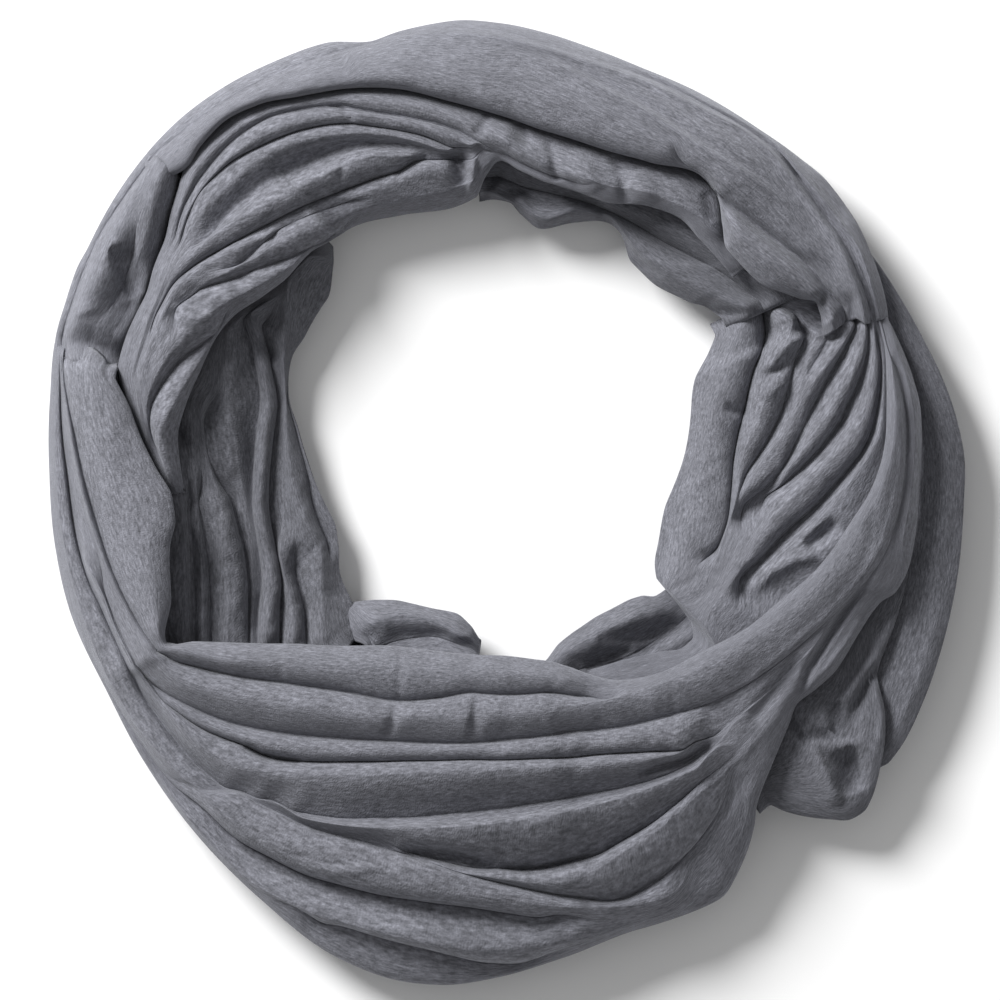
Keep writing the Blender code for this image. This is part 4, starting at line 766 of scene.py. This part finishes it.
def along_fold(rise, first, last, angles):
    """The fold's rise at the angles: a number, or values spread evenly from its first point to its last."""
    values = np.atleast_1d(np.asarray(rise, float))
    way = np.clip((angles - first) / (last - first), 0, 1)
    return np.interp(way, np.linspace(0, 1, len(values)), values)


def rounded(t):
    """0 to 1 with an upright start and a flat end, as the shoulder of a panel of cloth."""
    return (1 - (1 - t) ** SHOULDER_POWER) ** (1 / SHOULDER_POWER)


def both_sides(crisp):
    return crisp if isinstance(crisp, tuple) else (crisp, crisp)


def ends_fixed(rows, first, last):
    rows = rows.copy()
    rows[0] = first
    rows[-1] = last
    return rows


def round_hub(points, near):
    """Angles in degrees, within half a turn of near, and distances in mm from HUB of some points."""
    x = np.array([p[0] - HUB[0] for p in points], float)
    y = np.array([HUB[1] - p[1] for p in points], float)
    angle = np.degrees(np.arctan2(y, x))
    angle = (angle - near + 180) % 360 - 180 + near
    return angle, np.hypot(x, y) * PIXEL / MM


class Sheet:
    """A stretch as heights over angle and share of the way from its outer to its inner edge."""

    def __init__(self, stretch):
        self.stretch = stretch
        self.middle = (stretch.start + stretch.end) / 2

    def edge(self, points, angles, slip):
        at, radius = round_hub(points, self.middle)
        return curve_through(at, radius, angles) + slip

    def heights(self, angles):
        rows = self.stretch.sections
        at = [row.angle for row in rows]
        return {name: curve_through(at, [getattr(row, name) for row in rows], angles)
                for name in Section._fields[1:]}

    def lines(self, angles):
        """Each fold's share of the way across, its rise, and how strongly it shows, at the given angles."""
        s = self.stretch
        outer = self.edge(s.outer, angles, s.slip_out)
        inner = self.edge(s.inner, angles, -s.slip_in)
        count = len(s.folds)
        share = np.zeros((count + 2, len(angles)))
        shown = np.ones((count + 2, len(angles)))
        rise = np.zeros((count + 2, len(angles)))
        share[-1] = 1.0
        for k, fold in enumerate(s.folds, start=1):
            at, radius = round_hub(fold.points, self.middle)
            first, last = at.min(), at.max()
            held_at = np.clip(angles, first, last)
            rim = self.edge(s.outer, held_at, s.slip_out)
            far = self.edge(s.inner, held_at, -s.slip_in)
            way_in = (rim - curve_through(at, radius, held_at)) / (rim - far)
            share[k] = np.clip(way_in, NEAREST_EDGE, 1 - NEAREST_EDGE)
            left = ease((angles - first + FADE) / FADE) if first > s.start + NEAR_END else 1.0
            right = ease((last + FADE - angles) / FADE) if last < s.end - NEAR_END else 1.0
            shown[k] = left * right
            rise[k] = FOLD_DEPTH * along_fold(fold.rise, at[0], at[-1], angles)
        # A fold that shows holds its line. Where it fades, it slides to midway between its neighbours.
        held = PULL * shown / (1.0 + LOOSE - shown)
        chain = self.chain(held)
        share = np.linalg.solve(chain, ends_fixed(held * share, 0.0, 1.0).T[:, :, None])[:, :, 0].T
        room = LEAST_ROOM / np.maximum(outer - inner, LEAST_ROOM * (count + 2))
        for k in range(1, count + 1):
            share[k] = np.maximum(share[k], share[k - 1] + room)
        for k in range(count, 0, -1):
            share[k] = np.minimum(share[k], share[k + 1] - room)
        gaps = (share[1:] - share[:-1]) * (outer - inner)
        before = np.zeros_like(share)
        after = np.zeros_like(share)
        for k in range(1, count + 2):
            before[k] = gaps[k - 1] + (1 - shown[k - 1]) * before[k - 1]
        for k in range(count, -1, -1):
            after[k] = gaps[k] + (1 - shown[k + 1]) * after[k + 1]
        least = np.minimum(before, after)
        widest = np.minimum(np.maximum(before, after), LOPSIDED * least)
        most = STEEPEST * np.maximum(np.sqrt(least * widest), LEAST_ROOM)
        rise = most * np.tanh(rise / most)
        rise = np.linalg.solve(chain, ends_fixed(held * rise, 0.0, 0.0).T[:, :, None])[:, :, 0].T
        return outer, inner, share, rise, shown

    def chain(self, held):
        """Matrices of the springs between neighbouring folds, one for each station."""
        count, stations = held.shape
        matrix = np.zeros((stations, count, count))
        inside = np.arange(1, count - 1)
        matrix[:, inside, inside] = held[1:-1].T + 2.0
        matrix[:, inside, inside - 1] = -1.0
        matrix[:, inside, inside + 1] = -1.0
        matrix[:, 0, 0] = matrix[:, -1, -1] = 1.0
        return matrix

    def surface(self, angles):
        """Distance from HUB and height, both in mm, of the rings of points across the stretch."""
        s = self.stretch
        outer, inner, share, rise, shown = self.lines(angles)
        h = self.heights(angles)
        width = outer - inner
        gaps = (share[1:] - share[:-1]) * width
        rises = np.array([0.0] + [np.mean(fold.rise) for fold in s.folds] + [0.0])
        crisp = [(0.0, 0.0)] + [both_sides(fold.crisp) for fold in s.folds] + [(0.0, 0.0)]

        across, lift = [], []
        for k in range(len(rises) - 1):
            count = int(np.clip(math.ceil(gaps[k].max() / RING_SPACING), 3, MOST_RINGS))
            near, far = shown[k], shown[k + 1]
            for t in (1 - np.cos(np.pi * np.arange(count) / count)) / 2:
                soft = t * t * (3 - 2 * t)
                blend = soft + (1 - near) * t * (1 - t) ** 2 - (1 - far) * t * t * (1 - t)
                if rises[k] >= 0 > rises[k + 1]:
                    blend = blend + (1 - rounded(1 - t) - soft) * crisp[k + 1][0] * far
                if rises[k] < 0 <= rises[k + 1]:
                    blend = blend + (rounded(t) - soft) * crisp[k][1] * near
                across.append(share[k] + (share[k + 1] - share[k]) * t)
                lift.append(rise[k] + (rise[k + 1] - rise[k]) * blend)
        across.append(share[-1])
        lift.append(rise[-1])
        across = blurred(np.array(across), BLUR_TIMES)
        lift = blurred(np.array(lift), BLUR_TIMES)
        arch = np.sqrt(np.maximum(0.0, 1 - (2 * across - 1) ** 2))
        height = h["z_out"] + (h["z_in"] - h["z_out"]) * across + h["crown"] * arch + lift
        radius = outer - width * across
        height += creases(s.name, radius, angles)
        height += wrinkles(s.name, radius, angles, across)

        droop_start, droop_end = s.droop
        length = max(DROOP_LEAST, DROOP_SHARE * (s.end - s.start))
        for droop, gone in ((droop_start, angles - s.start), (droop_end, s.end - angles)):
            share_left = np.clip(1 - gone / length, 0, 1)
            height = height - droop * (1 - np.sqrt(1 - share_left ** 2))
        height = np.maximum(height, np.minimum(h["foot_out"], h["foot_in"]) + WALL + SEAT_GAP)
        return radius, height, h

    def rings(self, angles):
        """The surface with its two edges curled under, as arrays of x, y and z in metres."""
        radius, height, h = self.surface(angles)
        turns = [math.pi / 2 * (k + 1) / CURL_STEPS for k in range(CURL_STEPS)]
        outer_r, outer_z, inner_r, inner_z = [], [], [], []
        for turn in turns:
            outer_r.append(radius[0] - h["tuck_out"] * (1 - math.cos(turn)))
            outer_z.append(h["foot_out"] + (height[0] - h["foot_out"]) * (1 - math.sin(turn)))
            inner_r.append(radius[-1] + h["tuck_in"] * (1 - math.cos(turn)))
            inner_z.append(h["foot_in"] + (height[-1] - h["foot_in"]) * (1 - math.sin(turn)))
        radius = np.vstack((outer_r[::-1], radius, inner_r))
        height = np.vstack((outer_z[::-1], height, inner_z))
        spare = whole_steps(len(radius) - 1) - len(radius)
        if spare:
            below = np.linspace(-SPARE_STEP * spare, -SPARE_STEP, spare)[:, None]
            radius = np.vstack([radius[:1]] * spare + [radius])
            height = np.vstack([below + height[:1], height])
        return ring_points(radius, height, angles + self.bow(radius, angles))

    def bow(self, radius, angles):
        """Degrees by which points near the start move along, so that its edge isn't straight."""
        if self.stretch.name not in BOWS:
            return 0.0
        share = (radius[0] - radius) / (radius[0] - radius[-1])
        way = np.interp(share, *np.transpose(BOWS[self.stretch.name]))
        return way * (1 - ease((angles - self.stretch.start) / BOW_FADE))


def pixel_points(radius, angles):
    turn = np.radians(angles)
    x = HUB[0] + radius * MM / PIXEL * np.cos(turn)
    y = HUB[1] - radius * MM / PIXEL * np.sin(turn)
    return x, y


def creases(name, radius, angles):
    """Lift in mm of the short creases of a stretch: a soft trough or ridge along each line of points."""
    x, y = pixel_points(radius, angles)
    lift = np.zeros_like(x)
    for crease in CREASES.get(name, ()):
        lift += crease_lift(crease, x, y)
    return lift


def crease_lift(crease, x, y):
    points = np.array(crease.points, float)
    lengths = np.hypot(*np.diff(points, axis=0).T)
    starts = np.concatenate(([0.0], np.cumsum(lengths)))
    nearest = np.full(x.shape, np.inf)
    side = np.zeros(x.shape)
    along = np.zeros(x.shape)
    for k, (p, q) in enumerate(zip(points[:-1], points[1:])):
        step = q - p
        t = np.clip(((x - p[0]) * step[0] + (y - p[1]) * step[1]) / (lengths[k] ** 2), 0, 1)
        dx = x - p[0] - t * step[0]
        dy = y - p[1] - t * step[1]
        far = np.hypot(dx, dy)
        closer = far < nearest
        nearest = np.where(closer, far, nearest)
        side = np.where(closer, step[0] * dy - step[1] * dx, side)
        along = np.where(closer, starts[k] + t * lengths[k], along)
    width = np.where(side > 0, crease.right, crease.left)
    way = along / starts[-1]
    fade = np.sqrt(np.clip(4 * way * (1 - way), 0, 1))
    return crease.rise * fade * np.exp(-(nearest / width) ** 2)


def wrinkles(name, radius, angles, across):
    """Soft uneven wrinkles along the strand, in mm."""
    along = np.radians(angles) * radius.mean(axis=0)
    seed = WRINKLE_SEEDS[name]
    down = radius[0][None, :] - radius
    lift = np.zeros_like(radius)
    for number, (rise, length, width) in enumerate(WRINKLES):
        drift = smooth_noise(along / DRIFT[0], down / DRIFT[1], seed + DRIFT_SEED + number)
        lift += rise * smooth_noise(along / length + drift, down / width + 2 * drift, seed + number)
    return lift * np.clip(1 - (2 * across - 1) ** EDGE_POWER, 0, 1)


def ring_points(radius, height, angles):
    """Distances from HUB and heights in mm, at the given angles, as points in metres."""
    turn = np.radians(angles)
    x = (HUB[0] - ORIGIN[0]) * PIXEL + radius * MM * np.cos(turn)
    y = (ORIGIN[1] - HUB[1]) * PIXEL + radius * MM * np.sin(turn)
    return np.stack((x, y, height * MM), axis=2)


LEAST_NORMAL = 1e-12        # keeps a normal finite where two points coincide


def unit_normals(points):
    """Unit normals of a grid of points."""
    across = np.gradient(points, axis=0)
    along = np.gradient(points, axis=1)
    normal = np.cross(across, along)
    length = np.linalg.norm(normal, axis=2, keepdims=True)
    return normal / np.maximum(length, LEAST_NORMAL)


def shell(name, points):
    """Closed thin shell: the grid of points, a coarser grid moved in by WALL, and a rim round both."""
    normal = unit_normals(points)
    if normal[len(points) // 2, :, 2].mean() < 0:
        normal = -normal
    inside = (points - normal * WALL * MM)[::INSIDE_STEP, ::INSIDE_STEP]
    fine = np.arange(points[..., 0].size).reshape(points.shape[:2])
    coarse = np.arange(inside[..., 0].size).reshape(inside.shape[:2]) + fine.size
    faces = quads(fine) + [face[::-1] for face in quads(coarse)]
    rims = ((fine[0], coarse[0], 1), (fine[-1], coarse[-1], -1),
            (fine[:, 0], coarse[:, 0], -1), (fine[:, -1], coarse[:, -1], 1))
    for near, far, way in rims:
        for k in range(len(far) - 1):
            edge = near[k * INSIDE_STEP:(k + 1) * INSIDE_STEP + 1].tolist()
            faces.append((edge[::-1] + far[k:k + 2].tolist())[::way])
    corners = np.concatenate((points.reshape(-1, 3), inside.reshape(-1, 3)))
    weave = weave_map(points)
    return add_piece(name, corners, faces, weave, weave[::INSIDE_STEP, ::INSIDE_STEP])


def quads(index):
    a, b = index[:-1, :-1].ravel(), index[:-1, 1:].ravel()
    c, d = index[1:, 1:].ravel(), index[1:, :-1].ravel()
    return np.stack((a, b, c, d), axis=1).tolist()


def add_piece(name, corners, faces, *maps):
    mesh = bpy.data.meshes.new(name)
    mesh.from_pydata(corners.tolist(), [], faces)
    layer = mesh.uv_layers.new(name="weave")
    corner = np.empty(len(mesh.loops), int)
    mesh.loops.foreach_get("vertex_index", corner)
    weave = np.concatenate([part.reshape(-1, 2) for part in maps])
    layer.data.foreach_set("uv", weave[corner].ravel())
    bm = bmesh.new()
    bm.from_mesh(mesh)
    bmesh.ops.recalc_face_normals(bm, faces=bm.faces)
    bm.to_mesh(mesh)
    bm.free()
    mesh.shade_smooth()
    return add_object(name, mesh)


def weave_map(points):
    """Metres of cloth along the strand and across it at each point, so that the heather runs along."""
    along = np.linalg.norm(np.diff(points, axis=1), axis=2).mean(axis=0)
    across = np.linalg.norm(np.diff(points, axis=0), axis=2).mean(axis=1)
    u = np.concatenate(([0.0], np.cumsum(along)))
    v = np.concatenate(([0.0], np.cumsum(across)))
    return np.stack(np.broadcast_arrays(u[None, :], v[:, None]), axis=2)


def set_inputs(node, values):
    for name, value in values.items():
        node.inputs[name].default_value = value


def add_object(name, data):
    made = bpy.data.objects.new(name, data)
    bpy.context.scene.collection.objects.link(made)
    return made


def cloth_material(name, painted_shade):
    """Heather jersey: dark and light fibres drawn out along the strand, a fine knit, and soft sheen,
    darkened by a painted shade where the piece lies in shadow.
    """
    material = bpy.data.materials.new(name)
    material.use_nodes = True
    nodes = material.node_tree.nodes
    links = material.node_tree.links
    shader = nodes["Principled BSDF"]
    set_inputs(shader, CLOTH)
    weave = nodes.new("ShaderNodeUVMap")
    weave.uv_map = "weave"

    def noise(along, across, detail, rough):
        mapping = nodes.new("ShaderNodeMapping")
        set_inputs(mapping, {"Scale": (along, across, 1.0)})
        texture = nodes.new("ShaderNodeTexNoise")
        set_inputs(texture, {"Scale": 1.0, "Detail": detail, "Roughness": rough})
        links.new(weave.outputs["UV"], mapping.inputs["Vector"])
        links.new(mapping.outputs["Vector"], texture.inputs["Vector"])
        return texture.outputs["Fac"]

    def spread(value, low, high):
        step = nodes.new("ShaderNodeMapRange")
        set_inputs(step, {"From Min": NOISE_LOW, "From Max": NOISE_HIGH, "To Min": low, "To Max": high})
        links.new(value, step.inputs["Value"])
        return step.outputs["Result"]

    def join(kind, a, b):
        step = nodes.new("ShaderNodeMath")
        step.operation = kind
        links.new(a, step.inputs[0])
        if isinstance(b, float):
            set_inputs(step, {1: b})
        else:
            links.new(b, step.inputs[1])
        return step.outputs[0]

    streak = spread(noise(*STREAK), *FIBRE_TONE)
    fibre = spread(noise(*FIBRE), *FIBRE_TONE)
    cloud = spread(noise(*CLOUD), *CLOUD_TONE)
    tone = join("MULTIPLY", join("MULTIPLY", streak, fibre), cloud)
    ramp = nodes.new("ShaderNodeValToRGB")
    black, light = ramp.color_ramp.elements
    black.color = (0.0, 0.0, 0.0, 1.0)
    # painted shade: the heather colour times the piece's factor from CUTS, darker for pieces that lie in
    # the shadow of higher layers
    light.color = tuple(painted_shade * c / TONE_SCALE for c in HEATHER) + (1.0,)
    links.new(join("MULTIPLY", tone, TONE_SCALE), ramp.inputs["Fac"])
    links.new(ramp.outputs["Color"], shader.inputs["Base Color"])

    bump = nodes.new("ShaderNodeBump")
    set_inputs(bump, {"Strength": KNIT_STRENGTH, "Distance": KNIT_DEPTH})
    links.new(join("ADD", noise(*KNIT), noise(*FINE_KNIT)), bump.inputs["Height"])
    links.new(bump.outputs["Normal"], shader.inputs["Normal"])
    return material


def build_stretch(stretch):
    sheet = Sheet(stretch)
    radius = sheet.edge(stretch.outer, np.linspace(stretch.start, stretch.end, EDGE_SAMPLES), 0.0).mean()
    length = math.radians(stretch.end - stretch.start) * radius * MIDDLE_LINE
    stations = whole_steps(length / WIDE_SPACING.get(stretch.name, STATION_SPACING))
    return shell(stretch.name + "_cloth", sheet.rings(np.linspace(stretch.start, stretch.end, stations)))


def whole_steps(count):
    """The next number of points whose gaps the coarse inside divides evenly."""
    return math.ceil(count / INSIDE_STEP) * INSIDE_STEP + 1


def outline(angles, side):
    """The ring's outline: its largest or smallest distance from HUB over all stretches."""
    worst, better = (0.0, np.maximum) if side == "outer" else (np.inf, np.minimum)
    best = np.full(len(angles), worst)
    for stretch in STRETCHES:
        sheet = Sheet(stretch)
        turned = (angles - sheet.middle + 180) % 360 - 180 + sheet.middle
        within = (turned >= stretch.start) & (turned <= stretch.end)
        radius = sheet.edge(getattr(stretch, side), turned, 0.0)
        best = np.where(within, better(best, radius), best)
    return best


HEAP_STATIONS = 420         # cross-sections of the hidden layers
OUTER_INSET = 5.0           # mm, from the ring's outline in to the hidden layers
HOLE_INSET = 4.0            # mm, and from the edge of the hole
SHOULDER = 2.2              # mm, from the top layer's edge to the flat top
ROLLS = 3                   # folded edges that show on each flank
ROLL_POINTS = 8             # on each of them
ROLL_HOLLOW = 1.8           # mm that a folded edge lies back at half its height
ROLL_WAVE = 0.8             # mm that it waves in and out
ROLL_OUT = 0.5              # mm that it stands out from the heap's outline even there
ROLL_WAVES = 6              # features of the wave over the ring's radius
ROLL_SEED = 700
WAVE_PLACE = 40             # middle of the wave's circle in its noise
HEAP_SMOOTHINGS = 35        # of the ring's outline
FLATS = ((0.55, OUTER_HEAP), (0.45, HOLE_HEAP))     # share of the way out to the rim, and height


def build_hidden_layers():
    """Low ring under all the stretches, with the folded edges of the layers on its flanks."""
    angles = np.arange(HEAP_STATIONS + 1) * 360.0 / HEAP_STATIONS
    ring = angles[:-1]
    outer = outline(ring, "outer")
    hole = outline(ring, "inner")
    for _ in range(HEAP_SMOOTHINGS):
        outer = np.minimum(outer, (np.roll(outer, 1) + outer + np.roll(outer, -1)) / 3)
        hole = np.maximum(hole, (np.roll(hole, 1) + hole + np.roll(hole, -1)) / 3)
    outer = np.append(outer, outer[0]) - OUTER_INSET
    hole = np.append(hole, hole[0]) + HOLE_INSET
    section = []
    for k in range(ROLLS):
        section += roll(outer, -1, k, OUTER_HEAP, angles)
    section.append((outer - SHOULDER, np.full_like(outer, OUTER_HEAP)))
    for share, height in FLATS:
        section.append((outer * share + hole * (1 - share), np.full_like(outer, height)))
    section.append((hole + SHOULDER, np.full_like(outer, HOLE_HEAP)))
    for k in reversed(range(ROLLS)):
        section += roll(hole, 1, k, HOLE_HEAP, angles)[::-1]
    radius = np.array([r for r, _ in section])
    height = np.array([z for _, z in section])
    return solid_ring("hidden_layers_cloth", ring_points(radius, height, angles)[:, :-1])


def roll(edge, way, number, top, angles):
    """Points of one folded edge, from its lowest up: hollow at half its height, and it waves a little.

    way is 1 round the hole and -1 at the outside.
    """
    low = top * number / ROLLS
    high = top * (number + 1) / ROLLS
    way_round = np.radians(angles)
    wave = smooth_noise(np.cos(way_round) * ROLL_WAVES + WAVE_PLACE,
                        np.sin(way_round) * ROLL_WAVES + WAVE_PLACE,
                        ROLL_SEED + number + 10 * way)
    points = []
    for k in range(ROLL_POINTS):
        turn = math.pi * (k + 0.5) / ROLL_POINTS
        into_heap = ROLL_HOLLOW * (math.sin(turn) - 1) + ROLL_WAVE * wave - ROLL_OUT
        height = low + (high - low) * (1 - math.cos(turn)) / 2
        points.append((edge + way * into_heap, np.full_like(edge, height)))
    return points


def solid_ring(name, points):
    """Closed ring: the section's points joined round, all the way along."""
    rings, stations = points.shape[:2]
    index = np.arange(rings * stations).reshape(rings, stations)
    down = np.roll(index, -1, axis=0)
    on = np.roll(index, -1, axis=1)
    both = np.roll(down, -1, axis=1)
    faces = np.stack((index.ravel(), on.ravel(), both.ravel(), down.ravel()), axis=1)
    return add_piece(name, points.reshape(-1, 3), faces.tolist(), weave_map(points))


def dress(piece, node, flat, rests_on, painted_shade):
    # each piece gets its own copy of the cloth, darkened by its painted shade
    piece.data.materials.append(cloth_material("jersey_" + node, painted_shade))
    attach(piece, "root")
    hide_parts(node)


def build_floor():
    mesh = bpy.data.meshes.new("floor")
    corners = [(x * FLOOR_HALF, y * FLOOR_HALF, 0) for x, y in ((-1, -1), (1, -1), (1, 1), (-1, 1))]
    mesh.from_pydata(corners, [], [(0, 1, 2, 3)])
    floor = add_object("floor", mesh)
    material = bpy.data.materials.new("floor")
    material.use_nodes = True
    shader = material.node_tree.nodes["Principled BSDF"]
    set_inputs(shader, FLOOR)
    mesh.materials.append(material)


def area_light(name, place, aim, size, power):
    data = bpy.data.lights.new(name, "AREA")
    data.shape = "DISK"
    data.size = size
    data.energy = power
    lamp = add_object(name, data)
    lamp.location = place
    lamp.rotation_mode = "QUATERNION"
    lamp.rotation_quaternion = (Vector(aim) - Vector(place)).to_track_quat("-Z", "Y")


def build_light():
    world = bpy.data.worlds.new("studio")
    world.use_nodes = True
    background = world.node_tree.nodes["Background"]
    set_inputs(background, {"Color": (1.0, 1.0, 1.0, 1.0), "Strength": WORLD_STRENGTH})
    bpy.context.scene.world = world
    bpy.context.scene.view_settings.view_transform = "Standard"
    area_light("key", KEY_PLACE, (0, 0, 0), KEY_SIZE, KEY_POWER)


def build_camera():
    data = bpy.data.cameras.new("camera")
    data.type = "PERSP"
    data.sensor_width = SENSOR_WIDTH
    data.lens = data.sensor_width * MM * (CAMERA_HEIGHT - FOCUS_HEIGHT) / (PHOTO_SIDE * PIXEL) / MM
    camera = add_object("camera", data)
    camera.location = ((PHOTO_MIDDLE[0] - ORIGIN[0]) * PIXEL, (ORIGIN[1] - PHOTO_MIDDLE[1]) * PIXEL,
                       CAMERA_HEIGHT)
    data.clip_end = 100.0
    bpy.context.scene.camera = camera


def main():
    dress(build_hidden_layers(), "hidden_layers", *CUTS["hidden_layers"])
    for stretch in STRETCHES:
        dress(build_stretch(stretch), stretch.name, *CUTS[stretch.name])
    build_floor()
    build_light()
    build_camera()


main()
